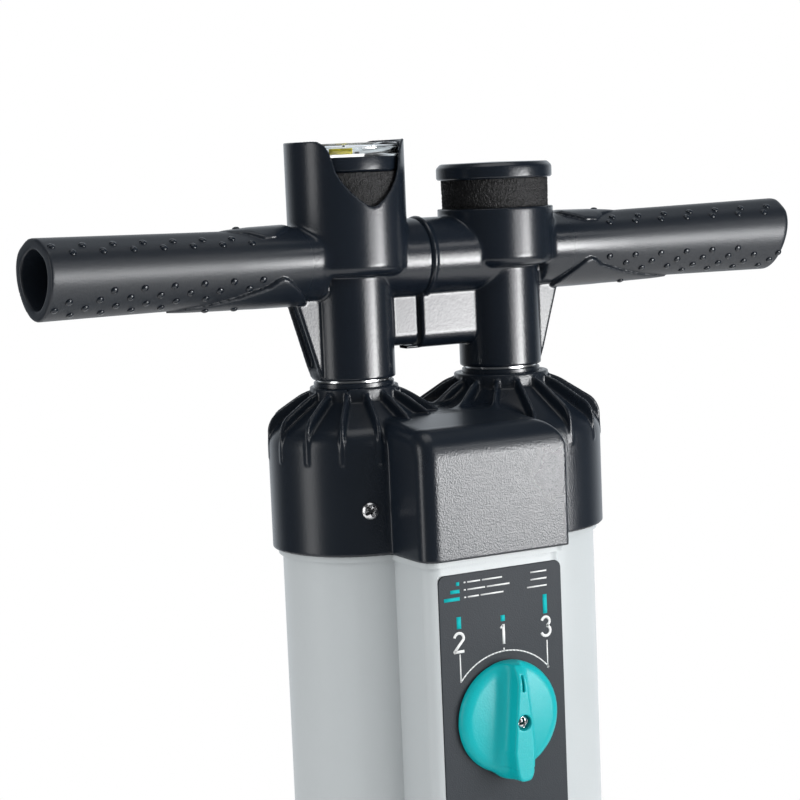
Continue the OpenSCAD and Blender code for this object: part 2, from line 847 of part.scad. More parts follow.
cylinder_body();
head();
head_gasket();
rod_guide(-1);  // rod_guide_left
rod_guide(1);  // rod_guide_right
rod_wiper(-1);  // rod_wiper_left
rod_wiper(1);  // rod_wiper_right
head_screws();
valve_bush();
valve_rotor();
rotor_seals();
selector_knob();
knob_screw();
label_plate();
base();
base_screws();
base_pad();
foot(-1);  // foot_left
foot(1);  // foot_right
foot_pad(-1);  // foot_pad_left
foot_pad(1);  // foot_pad_right
hinge_pin(-1);  // hinge_pin_left
hinge_pin(1);  // hinge_pin_right
outlet_port();
outlet_seal();
outlet_valve();
handle_left();
handle_right();
handle_screws();
rod(-1);  // rod_left
rod(1);  // rod_right
rod_screws();
piston(-1);  // piston_left
piston(1);  // piston_right
piston_seal(-1);  // piston_seal_left
piston_seal(1);  // piston_seal_right
piston_valve(-1);  // piston_valve_left
piston_valve(1);  // piston_valve_right
filter_left();
filter_right();
filter_cap();
gauge_body();
gauge_seal();
gauge_dial();
gauge_lens();
gauge_pivot();
gauge_needle();
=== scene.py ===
import math

import bpy
import numpy as np
from mathutils import Matrix, Vector


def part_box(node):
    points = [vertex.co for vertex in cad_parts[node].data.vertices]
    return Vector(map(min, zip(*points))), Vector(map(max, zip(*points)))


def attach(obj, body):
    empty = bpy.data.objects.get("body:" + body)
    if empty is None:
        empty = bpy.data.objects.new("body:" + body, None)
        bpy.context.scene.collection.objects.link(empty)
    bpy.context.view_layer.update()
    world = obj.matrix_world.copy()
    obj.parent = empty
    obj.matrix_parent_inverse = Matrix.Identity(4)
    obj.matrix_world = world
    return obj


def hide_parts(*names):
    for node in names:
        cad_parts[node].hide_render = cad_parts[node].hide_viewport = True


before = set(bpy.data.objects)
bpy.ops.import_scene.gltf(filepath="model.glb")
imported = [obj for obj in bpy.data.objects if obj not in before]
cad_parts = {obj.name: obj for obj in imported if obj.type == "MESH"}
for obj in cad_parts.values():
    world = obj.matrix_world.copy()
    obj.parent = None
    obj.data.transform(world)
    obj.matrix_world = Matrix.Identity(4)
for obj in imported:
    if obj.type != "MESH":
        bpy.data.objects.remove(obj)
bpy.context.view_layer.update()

MM = 0.001


# ---------------- sizes in millimetres
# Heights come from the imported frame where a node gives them. The rest follow the CAD model's
# driving sizes, some of them trimmed by about a millimetre to suit the photo.

def top(node):
    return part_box(node)[1].z / MM


def bottom(node):
    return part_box(node)[0].z / MM


LEFT, RIGHT = -1, 1
AXIS_OFF = 42.0      # each cylinder's axis from the middle
TUBE_R = {LEFT: 38.6, RIGHT: 44.2}
COLLAR_R = {LEFT: 43.3, RIGHT: 49.3}
CONE_R = {LEFT: 21.4, RIGHT: 23.6}      # radius of each cone's neck
RIB_COUNT = 15
BOX_X = (-47.3, 31.4)
BOX_FRONT = -76.6
SLEEVE_R = 20.6
CROSS_R = 19.2
CUP_R = 29.1
CUP_IN_R = 27.6
ROD_R = 18.0
SEAM_X = -6.5      # where the two handle halves meet
GRIP_END = 206.0
GRIP_SWEEP = 14.3
GRIP_WALL = 5.0
KNOB_X = -4.2
KNOB_R = 27.3

HEAD_Z = bottom("head")
CONE_TOP = top("head")
SHOULDER = {LEFT: HEAD_Z + 57.0, RIGHT: HEAD_Z + 53.0}
SLEEVE_Z = bottom("handle_left")
HANDLE_Z = HEAD_Z + 138.4      # the grips' middle line
CUP_Z = HEAD_Z + 131.8
CUP_FLOOR = bottom("filter_left")
CUP_TOP = {LEFT: top("handle_left"), RIGHT: top("handle_right")}
CAP_Z = HEAD_Z + 175.1
CAP_TOP = top("filter_cap")
GAUGE_Z = HEAD_Z + 181.1
DIAL_Z = bottom("gauge_dial")
LENS_TOP = top("gauge_lens")
WEB_Z = HEAD_Z + 101.5      # centre of the round lower edge of the web between the sleeves
KNOB_Z = (bottom("valve_rotor") + top("valve_rotor")) / 2


# ---------------- distance fields
# Shapes are signed distances in millimetres, joined with rounded unions, and meshed on a grid.

def smooth_union(a, b, k):
    """a or b, with a fillet of a radius near 0.85 k."""
    h = np.maximum(k - np.abs(a - b), 0.0) / k
    return np.minimum(a, b) - h * h * k * 0.25


def smooth_common(a, b, k):
    return -smooth_union(-a, -b, k)


def smooth_cut(a, b, k):
    """a without b."""
    return -smooth_union(-a, b, k)


def hypot(a, b):
    return np.sqrt(a * a + b * b)


def between(v, low, high):
    """Distance outside a stretch of one axis, negative inside it."""
    return np.abs(v - (low + high) / 2) - (high - low) / 2


def round_common(*parts, edge=0.6):
    """Everything inside all parts, with convex edges rounded by edge."""
    q = [p + edge for p in parts]
    outside = np.sqrt(sum(np.maximum(v, 0) ** 2 for v in q))
    inside = q[0]
    for v in q[1:]:
        inside = np.maximum(inside, v)
    return outside + np.minimum(inside, 0) - edge


def block(p, low, high, edge=0.6):
    return round_common(*[between(v, a, b) for v, a, b in zip(p, low, high)], edge=edge)


def line_distance(u, v, points):
    """Distance in a plane from an open run of points."""
    best = np.full(np.shape(u), 1e9, np.float32)
    for (a, b), (c, d) in zip(points[:-1], points[1:]):
        t = ((u - a) * (c - a) + (v - b) * (d - b)) / ((c - a) ** 2 + (d - b) ** 2)
        t = np.clip(t, 0, 1)
        best = np.minimum(best, hypot(u - a - t * (c - a), v - b - t * (d - b)))
    return best


def outline_distance(u, v, points):
    """Signed distance in a plane from a closed outline, negative inside."""
    inside = np.zeros(np.shape(u), bool)
    closed = list(points) + [points[0]]
    for (a, b), (c, d) in zip(closed[:-1], closed[1:]):
        if b != d:
            crosses = ((b > v) != (d > v)) & (u < (c - a) * (v - b) / (d - b) + a)
            inside ^= crosses
    far = line_distance(u, v, closed)
    return np.where(inside, -far, far)


def mirrored(points):
    """An outline from its right half, given from top to bottom."""
    return list(points) + [(-u, v) for u, v in reversed(points) if u != 0]


CORNERS = np.array([(i, j, k) for i in (0, 1) for j in (0, 1) for k in (0, 1)])
EDGES = [(a, b) for a in range(8) for b in range(a + 1, 8)
         if np.abs(CORNERS[a] - CORNERS[b]).sum() == 1]
BRICK = 8
NEAR = 2.2      # bricks between a brick's middle and the surface, at most, for it to be worked out
CHUNK = 2000


def sample(field, low, count, cell):
    """Values of a field on a grid, worked out in full only in bricks that the surface can cross."""
    bricks = -(-count // BRICK)
    middle = [low[i] + cell * (BRICK * np.arange(bricks[i]) + (BRICK - 1) / 2) for i in range(3)]
    coarse = field(*np.meshgrid(*middle, indexing="ij"))
    near = np.abs(coarse) < BRICK * cell * NEAR
    value = np.where(coarse > 0, np.float32(1e3), np.float32(-1e3))
    for axis in range(3):
        value = np.repeat(value, BRICK, axis)
    offsets = np.stack(np.meshgrid(*[np.arange(BRICK)] * 3, indexing="ij"), -1).reshape(-1, 3)
    hits = np.argwhere(near)
    for start in range(0, len(hits), CHUNK):
        index = (hits[start:start + CHUNK, None, :] * BRICK + offsets).reshape(-1, 3)
        p = low + cell * index
        value[tuple(index.T)] = field(p[:, 0], p[:, 1], p[:, 2])
    return value[:count[0], :count[1], :count[2]]


def slope(field, p, h):
    """The field's gradient at each point, from values h to each side."""
    parts = []
    for i in range(3):
        step = np.zeros(3)
        step[i] = h
        ahead, behind = p + step, p - step
        parts.append((field(*ahead.T) - field(*behind.T)) / (2 * h))
    return np.stack(parts, 1)


def settle(field, p, cell, rounds=3):
    """Points moved onto the surface, at most half a cell each time."""
    for _ in range(rounds):
        g = slope(field, p, 0.1 * cell)
        move = field(*p.T)[:, None] * g / np.maximum((g * g).sum(1), 0.1)[:, None]
        p = p - np.clip(move, -0.5 * cell, 0.5 * cell)
    return p


def surface(field, low, high, cell):
    """Points and quads where field is zero inside a box: one point for each crossed cell."""
    low = np.array(low, float)
    count = np.ceil((np.array(high) - low) / cell).astype(int) + 1
    value = sample(field, low, count, cell)
    inside = value < 0
    filled = np.zeros(count - 1, np.int8)
    for i, j, k in CORNERS:
        filled += inside[i:count[0] - 1 + i, j:count[1] - 1 + j, k:count[2] - 1 + k]
    crossed = np.argwhere((filled > 0) & (filled < 8))
    number = np.full(count - 1, -1, np.int32)
    number[tuple(crossed.T)] = np.arange(len(crossed))
    at = [value[tuple((crossed + c).T)] for c in CORNERS]
    total = np.zeros((len(crossed), 3))
    hits = np.zeros(len(crossed))
    for a, b in EDGES:
        cut = (at[a] < 0) != (at[b] < 0)
        t = np.where(cut, at[a] / np.where(cut, at[a] - at[b], 1), 0)
        total += np.where(cut[:, None], CORNERS[a] + t[:, None] * (CORNERS[b] - CORNERS[a]), 0)
        hits += cut
    points = settle(field, low + cell * (crossed + total / hits[:, None]), cell)
    quads = []
    for axis in range(3):
        u, v = [(1, 2), (2, 0), (0, 1)][axis]
        first = [slice(None)] * 3
        last = [slice(None)] * 3
        first[axis], last[axis] = slice(None, -1), slice(1, None)
        flip = np.argwhere(inside[tuple(first)] != inside[tuple(last)])
        keep = (flip[:, u] > 0) & (flip[:, v] > 0)
        keep &= (flip[:, u] < count[u] - 1) & (flip[:, v] < count[v] - 1)
        flip = flip[keep]
        ring = []
        for du, dv in ((1, 1), (0, 1), (0, 0), (1, 0)):
            c = flip.copy()
            c[:, u] -= du
            c[:, v] -= dv
            ring.append(number[tuple(c.T)])
        ring = np.stack(ring, 1)
        outward = inside[tuple(flip.T)]
        ring[~outward] = ring[~outward][:, ::-1]
        quads.append(ring)
    return points, np.concatenate(quads)


# ---------------- objects

def add_object(name, points, faces, smooth=True):
    """An object from points in millimetres and faces: an array of quads, or a list of rings."""
    mesh = bpy.data.meshes.new(name)
    mesh.from_pydata((np.asarray(points, float) * MM).tolist(), [],
                     faces.tolist() if isinstance(faces, np.ndarray) else faces)
    mesh.update()
    if smooth:
        mesh.shade_smooth()
    made = bpy.data.objects.new(name, mesh)
    bpy.context.scene.collection.objects.link(made)
    return made


def carve(name, field, low, high, cell):
    """The object whose surface is where field is zero."""
    return add_object(name, *surface(field, low, high, cell * (1)))


def finish_piece(piece, body, slot, material, *nodes):
    """Gives a piece its material and body, and hides the CAD nodes that it stands for. slot is not used."""
    piece.data.materials.clear()
    piece.data.materials.append(material)
    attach(piece, body)
    if nodes:
        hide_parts(*nodes)
    return piece


def sharpen(piece, degrees=35):
    """Smooth shading that stops at edges steeper than the angle."""
    piece.data.set_sharp_from_angle(angle=math.radians(degrees))
    return piece


def rounded_path(points, radius, steps=5):
    """An open path with each inner corner turned into an arc of at most that radius."""
    out = [points[0]]
    for before, here, after in zip(points[:-2], points[1:-1], points[2:]):
        h = np.array(here, float)
        a, b = np.array(before) - h, np.array(after) - h
        la, lb = np.linalg.norm(a), np.linalg.norm(b)
        a, b = a / la, b / lb
        half = math.acos(np.clip(a @ b, -1, 1)) / 2
        reach = min(radius / math.tan(half), la * 0.49, lb * 0.49)
        centre = h + (a + b) / np.linalg.norm(a + b) * reach / math.cos(half)
        start, end = h + a * reach - centre, h + b * reach - centre
        sweep = math.acos(np.clip(start @ end / (start @ start), -1, 1))
        for i in range(steps + 1):
            t = i / steps
            p = centre + (math.sin((1 - t) * sweep) * start + math.sin(t * sweep) * end) / math.sin(sweep)
            out.append(tuple(p))
    out.append(points[-1])
    return out


def band(rows, around, closed=False):
    """Quads between rings of points; closed joins the last ring to the first."""
    faces = []
    for j in range(rows if closed else rows - 1):
        m = (j + 1) % rows
        for i in range(around):
            k = (i + 1) % around
            faces.append((j * around + i, j * around + k, m * around + k, m * around + i))
    return faces


def turned(section, centre, segments, push=0.0):
    """Points of a section of (radius, height) turned about a vertical axis, moved out by push."""
    angle = np.arange(segments) * 2 * math.pi / segments
    a, r = np.meshgrid(angle, section[:, 0])
    z = np.repeat(section[:, 1][:, None], segments, 1)
    r = r + push
    return np.stack([centre[0] + r * np.cos(a), centre[1] + r * np.sin(a), z], -1).reshape(-1, 3)


def lathe(name, profile, centre, segments):
    """A turned solid. profile runs from the axis at the bottom, outside, to the axis at the top."""
    profile = np.array(profile, float)
    rows = len(profile) - 2
    ring = turned(profile[1:-1], centre, segments)
    points = np.vstack([ring, [[*centre, profile[0, 1]], [*centre, profile[-1, 1]]]])
    faces = band(rows, segments)
    last = (rows - 1) * segments
    for i in range(segments):
        k = (i + 1) % segments
        faces.append((len(ring), k, i))
        faces.append((len(ring) + 1, last + i, last + k))
    return add_object(name, points, faces)


def turned_ring(name, section, centre, segments, push=0.0):
    """A turned ring, from a closed section."""
    section = np.array(section, float)
    points = turned(section, centre, segments, push)
    return add_object(name, points, band(len(section), segments, closed=True))


def joined(name, parts):
    """One object from several (points, faces) lists."""
    points, faces, count = [], [], 0
    for p, f in parts:
        points.append(np.asarray(p, float))
        faces += [tuple(int(i) + count for i in face) for face in f]
        count += len(p)
    return add_object(name, np.vstack(points), faces)


# ---------------- materials

PLASTIC_IOR = 1.49
ROUGH_DRIFT = 0.14
SATIN_FROM, SATIN_TO = 68, 115      # where the grips' extra roughness starts and is full, from the middle
FRONT_FROM, FRONT_TO = -0.90, -0.99      # the normal's Y where the head front's grain starts and is full
SIDE_DEPTH = 0.05


def add_node(tree, kind, values=None, links=None):
    """A shader node with some inputs set to values and some linked to outputs."""
    made = tree.nodes.new("ShaderNode" + kind)
    for socket, value in (values or {}).items():
        made.inputs[socket].default_value = value
    for socket, source in (links or {}).items():
        tree.links.new(source, made.inputs[socket])
    return made


def material(name, colour, rough, grain=300.0, depth=0.02, tint=0.05, metal=0.0, clear=0.0, patch=14.0,
             sheen=0.5, front_only=False, satin=0.0):
    """A procedural finish: slow tint and roughness drift, and a fine moulded or rubbed grain.
    front_only keeps the full grain to faces that look forward; satin roughens the far ends."""
    made = bpy.data.materials.new(name)
    made.use_nodes = True
    tree = made.node_tree
    shader = tree.nodes["Principled BSDF"]
    shader.inputs["Metallic"].default_value = metal
    shader.inputs["Transmission Weight"].default_value = clear
    shader.inputs["IOR"].default_value = PLASTIC_IOR
    shader.inputs["Specular IOR Level"].default_value = sheen
    place = add_node(tree, "TexCoord").outputs["Object"]
    drift = add_node(tree, "TexNoise", {"Scale": patch, "Detail": 4}, {"Vector": place}).outputs["Fac"]
    ramp = add_node(tree, "ValToRGB", links={"Fac": drift})
    low, high = ramp.color_ramp.elements
    low.position, high.position = 0.3, 0.7
    low.color = (*[c * (1 - tint) for c in colour], 1)
    high.color = (*[min(1, c * (1 + tint)) for c in colour], 1)
    tree.links.new(ramp.outputs["Color"], shader.inputs["Base Color"])
    limits = {"To Min": rough * (1 - ROUGH_DRIFT), "To Max": min(1, rough * (1 + ROUGH_DRIFT))}
    spread = add_node(tree, "MapRange", limits, {"Value": drift}).outputs["Result"]
    if satin:
        along = add_node(tree, "SeparateXYZ", links={"Vector": place})
        away = add_node(tree, "Math", links={0: along.outputs["X"]})
        away.operation = "ABSOLUTE"
        limits = {"From Min": SATIN_FROM * MM, "From Max": SATIN_TO * MM, "To Max": satin}
        fade = add_node(tree, "MapRange", limits, {"Value": away.outputs["Value"]})
        spread = add_node(tree, "Math", links={0: spread, 1: fade.outputs["Result"]}).outputs["Value"]
    tree.links.new(spread, shader.inputs["Roughness"])
    fine = add_node(tree, "TexNoise", {"Scale": grain, "Detail": 2}, {"Vector": place})
    bump = add_node(tree, "Bump", {"Strength": depth, "Distance": MM}, {"Height": fine.outputs["Fac"]})
    if front_only:
        facing = add_node(tree, "NewGeometry").outputs["Normal"]
        split = add_node(tree, "SeparateXYZ", links={"Vector": facing})
        limits = {"From Min": FRONT_FROM, "From Max": FRONT_TO, "To Min": SIDE_DEPTH, "To Max": depth}
        there = add_node(tree, "MapRange", limits, {"Value": split.outputs["Y"]})
        tree.links.new(there.outputs["Result"], bump.inputs["Strength"])
    tree.links.new(bump.outputs["Normal"], shader.inputs["Normal"])
    return made


GRIP_FINISH = material("handle_plastic", (0.005, 0.008, 0.013), 0.25, grain=900, depth=0.06, satin=0.17)
BLACK = material("black_plastic", (0.005, 0.008, 0.013), 0.25, grain=900, depth=0.06)
HEAD_FINISH = material("black_plastic_head", (0.005, 0.008, 0.013), 0.28, grain=1200, depth=0.23, sheen=0.5,
                       front_only=True)
GRAINY = material("black_plastic_grained", (0.007, 0.009, 0.013), 0.34, grain=1600, depth=0.35)
GREY = material("body_plastic", (0.375, 0.40, 0.41), 0.36, grain=1100, depth=0.06, tint=0.015, sheen=0.25)
LABEL = material("label_plastic", (0.021, 0.025, 0.030), 0.5, grain=1500, depth=0.15, sheen=0.12)
PRINT = material("white_print", (0.60, 0.61, 0.61), 0.5, grain=900, depth=0.1, tint=0.02)
TEAL_PRINT = material("teal_print", (0.002, 0.32, 0.34), 0.5, grain=900, depth=0.1, tint=0.03, sheen=0.1)
TEAL = material("knob_plastic", (0.002, 0.30, 0.32), 0.30, grain=900, depth=0.08, tint=0.03, sheen=0.18)
RUBBER = material("rubber", (0.016, 0.016, 0.018), 0.6, grain=700, depth=0.3)
FOAM = material("foam", (0.007, 0.007, 0.008), 0.5, grain=1300, depth=1.0, tint=1.0, patch=1300, sheen=0.4)
STEEL = material("steel", (0.62, 0.62, 0.63), 0.24, grain=600, depth=0.06, metal=1.0)
ALUMINIUM = material("aluminium", (0.78, 0.79, 0.8), 0.22, grain=500, depth=0.05, metal=1.0)
NYLON = material("inner_plastic", (0.78, 0.77, 0.72), 0.42, grain=500, depth=0.1, tint=0.03)
VALVE = material("valve_plastic", (0.42, 0.03, 0.02), 0.4, grain=500, depth=0.1)
CLEAR = material("clear_plastic", (0.94, 0.96, 0.96), 0.05, grain=400, depth=0.01, tint=0.01, clear=1.0,
                 sheen=0.3)
DIAL = material("dial_face", (0.80, 0.80, 0.76), 0.45, grain=600, depth=0.1, tint=0.02)
SECTOR = material("dial_sector", (0.85, 0.72, 0.04), 0.45, grain=600, depth=0.1, tint=0.02)
NEEDLE = material("needle", (0.5, 0.02, 0.015), 0.35, grain=500, depth=0.05)


# ---------------- handle

# Run of the grip's lower ledge and top fin: distance from the middle, height above the grip's middle.
LEDGE = [(60, -26), (70, -17), (80, -8.4), (83.6, -5.6), (86.2, -4.7), (89, -5.8), (93, -8.4),
         (108, -12.9), (124, -16.1), (143, -18), (160, -18.6), (220, -19)]
TOP_FIN = [(60, 21), (70, 19), (77.6, 17.1), (86.8, 14), (93, 13.6), (99.4, 16.1), (109, 17.6),
           (114, 18.6), (220, 18.9)]
EGG = 0.16      # share by which the section widens from its middle to its top
FACET = (0.47, 0.883)      # direction of the flats beside the grip's top, across and up
CROSS_Y = -1.6
END_TILT = math.radians(7)
END_RAKE = 0.16
END_EDGE = {LEFT: 1.0, RIGHT: 3.6}
WEB_HALF = {LEFT: 6.2, RIGHT: 8.0}
HALF_END = {LEFT: SEAM_X - 0.1, RIGHT: SEAM_X}
WEB_END = {LEFT: SEAM_X - 2.6, RIGHT: SEAM_X - 0.8}
SPIGOT_R, SPIGOT_IN_R, SPIGOT_HOLE_R = 15.8, 13.0, 16.0
CUP_HOLE_R = 13.0
SEAM_SCREW_R, SEAM_SCREW_IN, SEAM_SCREW_OFF = 2.85, 3.4, 10
ROD_SCREW_R, ROD_SCREW_DROP = 3.2, 32
GRIP_BEND = 0.00049
NOTCH = mirrored([(25, 1.5), (22.4, -0.4), (20.4, -2.2), (18.7, -5.5), (17.6, -10), (16.4, -15),
                  (14.2, -19.6), (10.8, -24.2), (6.4, -28.4), (2.4, -31.2), (0, -31.8)])
GUSSET_HALF = 6.6
GUSSET = [(52, SLEEVE_Z + 6), (62.3, SLEEVE_Z + 1.5), (64.3, SLEEVE_Z + 7), (73.8, HANDLE_Z - 18),
          (77.5, HANDLE_Z - 8), (52, HANDLE_Z - 8)]
GUSSET_EDGE = [(64.3, SLEEVE_Z + 8), (73.8, HANDLE_Z - 20)]


def curve(u, points):
    """Height of a run of (distance, height) points."""
    us, vs = zip(*points)
    return np.interp(u, us, vs)


def step(v, width):
    """0 to 1 across a band of that width round zero."""
    t = np.clip(v / width + 0.5, 0, 1)
    return t * t * (3 - 2 * t)


def bead(v, width):
    """0 up to zero, then a quarter round up to 1 at width."""
    t = np.clip(v / width, 0, 1)
    return np.sqrt(t * (2 - t))


def grip_middle(u):
    """Where the grip's centre line runs in Y: it bends forward, further out the more."""
    t = u - AXIS_OFF
    return -1.2 - GRIP_BEND * t * t


GRIP_AT = (42, 72, 100, 140, 206)
GRIP_WIDE = (38, 37.4, 36.5, 36.6, 37.2)
GRIP_TALL = (37, 36, 35.4, 36, 37.5)


def egg(u, y, z, inset=0.0):
    """The grip's outer skin, or a smaller one inside it: an egg section with flats beside its top."""
    w = np.interp(u, GRIP_AT, GRIP_WIDE) / 2 - inset
    h = np.interp(u, GRIP_AT, GRIP_TALL) / 2 - inset
    across, up = y - grip_middle(u), z - HANDLE_Z - np.interp(u, (110, 206), (0, 1))
    lean = 1 + EGG * np.clip(up / h, -1, 1)
    q = hypot(across / (w * lean), up / h)
    round_d = hypot(across, up) * (1 - 1 / np.maximum(q, 1e-3))
    facet = FACET[0] * np.abs(across) + FACET[1] * up - h
    return smooth_common(round_d, facet, 0.8)


def grip(side, u, y, z):
    """A hollow grip with its ledge and fin, cut off aslant at the open end."""
    up = z - HANDLE_Z
    d = egg(u, y, z)
    low_proud = np.interp(u, (95, 165, 206), (2.1, 0.5, 0.35))
    high_proud = np.interp(u, (72, 78, 96, 112, 120), (0, 1.5, 1.3, 0.35, 0))
    d = d - low_proud * bead(curve(u, LEDGE) - up, 2.6) * step(u - 68, 6)
    d = d - high_proud * bead(up - curve(u, TOP_FIN), 2.2)
    end = (u - GRIP_END) * math.cos(END_TILT) - (y + GRIP_SWEEP) * math.sin(END_TILT)
    if side == RIGHT:
        end = end - END_RAKE * (up - 6)
    d = round_common(d, end, 60 - u, edge=END_EDGE[side])
    hollow = np.maximum(egg(u, y, z, GRIP_WALL), 84 - u)
    return smooth_cut(d, hollow, 1.2)


def handle_half(side):
    """One half of the handle: cup, sleeve, its part of the cross tube and web, gusset and grip."""
    end, web_end, half, rim = HALF_END[side], WEB_END[side], WEB_HALF[side], CUP_TOP[side]

    def field(x, y, z):
        u = side * x
        v = u - AXIS_OFF
        r = hypot(v, y)
        round_r = hypot(y - CROSS_Y, z - HANDLE_Z)
        cup = round_common(r - CUP_R, CUP_Z - z, edge=5.5)
        cup = round_common(cup, z - rim, edge=0.5)
        sleeve = round_common(r - SLEEVE_R, between(z, SLEEVE_Z, CUP_Z + 8), edge=1.2)
        inward = x - end if side == LEFT else end - x
        outward = -AXIS_OFF - x if side == LEFT else x - AXIS_OFF
        cross = round_common(round_r - CROSS_R, inward, outward, edge=0.5)
        if side == RIGHT:
            seam_ring = hypot(round_r - CROSS_R + 0.6, x - SEAM_X - 1.6) - 1.6
            cross = smooth_union(cross, seam_ring, 0.6)
            reach_in = between(x, -AXIS_OFF + CUP_R + 0.4, SEAM_X + 3)
            cross = np.minimum(cross, round_common(round_r - SPIGOT_R, reach_in, edge=0.4))
            cross = smooth_cut(cross, np.maximum(round_r - SPIGOT_IN_R, between(x, -40, 6)), 0.5)
        else:
            room = np.maximum(round_r - SPIGOT_HOLE_R, between(x, -AXIS_OFF + CUP_R, 0))
            cross = smooth_cut(cross, room, 0.5)
        deep = y - CROSS_Y
        web = np.where(z < WEB_Z, hypot(deep, z - WEB_Z), np.abs(deep)) - half
        web_in = x - web_end if side == LEFT else web_end - x
        web = round_common(web, web_in, outward, z - (HANDLE_Z - 8), edge=0.8)
        d = smooth_union(cup, sleeve, 1.6)
        d = smooth_union(d, cross, 1.2)
        d = smooth_union(d, web, 1.0)
        if side == RIGHT:
            lip = block((x, y, z), (SEAM_X - 9, -4, WEB_Z - half), (SEAM_X + 1, 4, WEB_Z - 6.4), 0.5)
            d = np.minimum(d, lip)
        d = smooth_union(d, grip(side, u, y, z), 2.4)
        slab = round_common(outline_distance(u, z, GUSSET), np.abs(y) - GUSSET_HALF, edge=0.7)
        channel = np.maximum(line_distance(u, z, GUSSET_EDGE) - 2.2, np.abs(y) - GUSSET_HALF + 2.4)
        slab = smooth_cut(slab, channel, 0.8)
        d = smooth_union(d, slab, 1.0)
        hollow = round_common(r - CUP_IN_R, CUP_FLOOR - z, edge=2)
        d = smooth_cut(d, hollow, 0.5)
        bore = np.minimum(np.maximum(r - ROD_R - 0.08, z - CUP_Z), r - CUP_HOLE_R)
        d = smooth_cut(d, np.maximum(bore, z - CUP_FLOOR - 1), 0.3)
        if side == LEFT:
            notch = outline_distance(v, z - rim, NOTCH + [(-25, 12), (25, 12)])
            d = smooth_cut(d, notch, 0.8)
        for up in (-SEAM_SCREW_OFF, SEAM_SCREW_OFF):
            hole = hypot(x - SEAM_X + SEAM_SCREW_IN, z - HANDLE_Z - up)
            d = smooth_cut(d, np.maximum(hole - SEAM_SCREW_R, CROSS_R - 4.6 - y), 0.4)
        hole = hypot(v, z - HANDLE_Z + ROD_SCREW_DROP)
        return smooth_cut(d, np.maximum(hole - ROD_SCREW_R, SLEEVE_R - 0.6 - y), 0.4)

    return field


BUMP_R, BUMP_H = 1.85, 1.0
BUMP_ROW, BUMP_PITCH = 4.5, 15.2
BUMP_SHIFT = {LEFT: 0.43, RIGHT: 0.28}      # each row's start against the row before, in pitches
BUMPS_FROM = 86
GRIP_R, GRIP_ROUND = 19, 114      # about a grip's radius, and the way round it


def bump_places(side):
    """Centres and outward directions of the grip's bumps: slanted rows round its lower front,
    its underside and its top, left out on the smooth band and near the ledges."""
    shape = lambda u, y, z: grip(side, u, y, z)
    starts = []
    rows = int(GRIP_ROUND / BUMP_ROW)
    for row in range(rows):
        turn = 2 * math.pi * (row + 0.5) / rows
        first = (row * BUMP_SHIFT[side] * (1 if side == RIGHT else -1)) % 1 * BUMP_PITCH
        for u in np.arange(BUMPS_FROM + first, GRIP_END - 5, BUMP_PITCH):
            starts.append((u, grip_middle(u) + GRIP_R * math.sin(turn), HANDLE_Z + GRIP_R * math.cos(turn)))
    p = np.array(starts)
    for _ in range(4):
        p = settle(shape, p, 8.0, 1)
    n = slope(shape, p, 0.4)
    n /= np.linalg.norm(n, axis=1)[:, None]
    u, across, up = p[:, 0], p[:, 1] - grip_middle(p[:, 0]), p[:, 2] - HANDLE_Z
    low = (up < -3.0 - 0.12 * np.maximum(u - 165, 0)) & (up > curve(u, LEDGE) + 1.8) & (u > 93)
    under = (up < curve(u, LEDGE) - 2.5) & (np.abs(across + 4) < 4) & (u > 96) & (u < 128)
    over = (up > 11.8) & (np.abs(curve(u, TOP_FIN) - up) > 2.0) & (u > 98)
    keep = low | under | over
    return p[keep], n[keep]


def bumps(side):
    """Low domes sunk a little into the grip, in one object."""
    rings, around = 3, 14
    profile = [(BUMP_R * math.cos(t), BUMP_H * math.sin(t)) for t in np.linspace(-0.25, 1.25, rings + 1)]
    parts = []
    for p, n in zip(*bump_places(side)):
        turning = np.array(Vector(n).to_track_quat("Z", "Y").to_matrix())
        local = [(r * math.cos(a), r * math.sin(a), h) for r, h in profile
                 for a in np.arange(around) * 2 * math.pi / around]
        local.append((0, 0, BUMP_H))
        faces = band(rings + 1, around)
        faces += [(rings * around + i, rings * around + (i + 1) % around, len(local) - 1)
                  for i in range(around)]
        faces.append(tuple(range(around - 1, -1, -1)))
        points = np.array(local) @ turning.T + p
        points[:, 0] *= side
        if side == LEFT:
            faces = [face[::-1] for face in faces]
        parts.append((points, faces))
    return parts


HANDLE_CELL, HEAD_CELL, KNOB_CELL = 0.8, 0.9, 0.45
HANDLE_REACH = GRIP_END + 3.5
HANDLE_Y = (-46, 31)
for side, node in ((LEFT, "handle_left"), (RIGHT, "handle_right")):
    inner = SEAM_X if side == LEFT else -AXIS_OFF + CUP_R
    xs = sorted((side * HANDLE_REACH, inner - side * 1.2))
    shape = carve(node + "_shell", handle_half(side), (xs[0], HANDLE_Y[0], SLEEVE_Z - 1.5),
                  (xs[1] + 1, HANDLE_Y[1], CUP_TOP[side] + 1.5), HANDLE_CELL)
    finish_piece(shape, "handle", "handle_plastic", GRIP_FINISH, node)
    dots = joined(node + "_bumps", bumps(side))
    finish_piece(dots, "handle", "handle_plastic", BLACK)


# ---------------- head

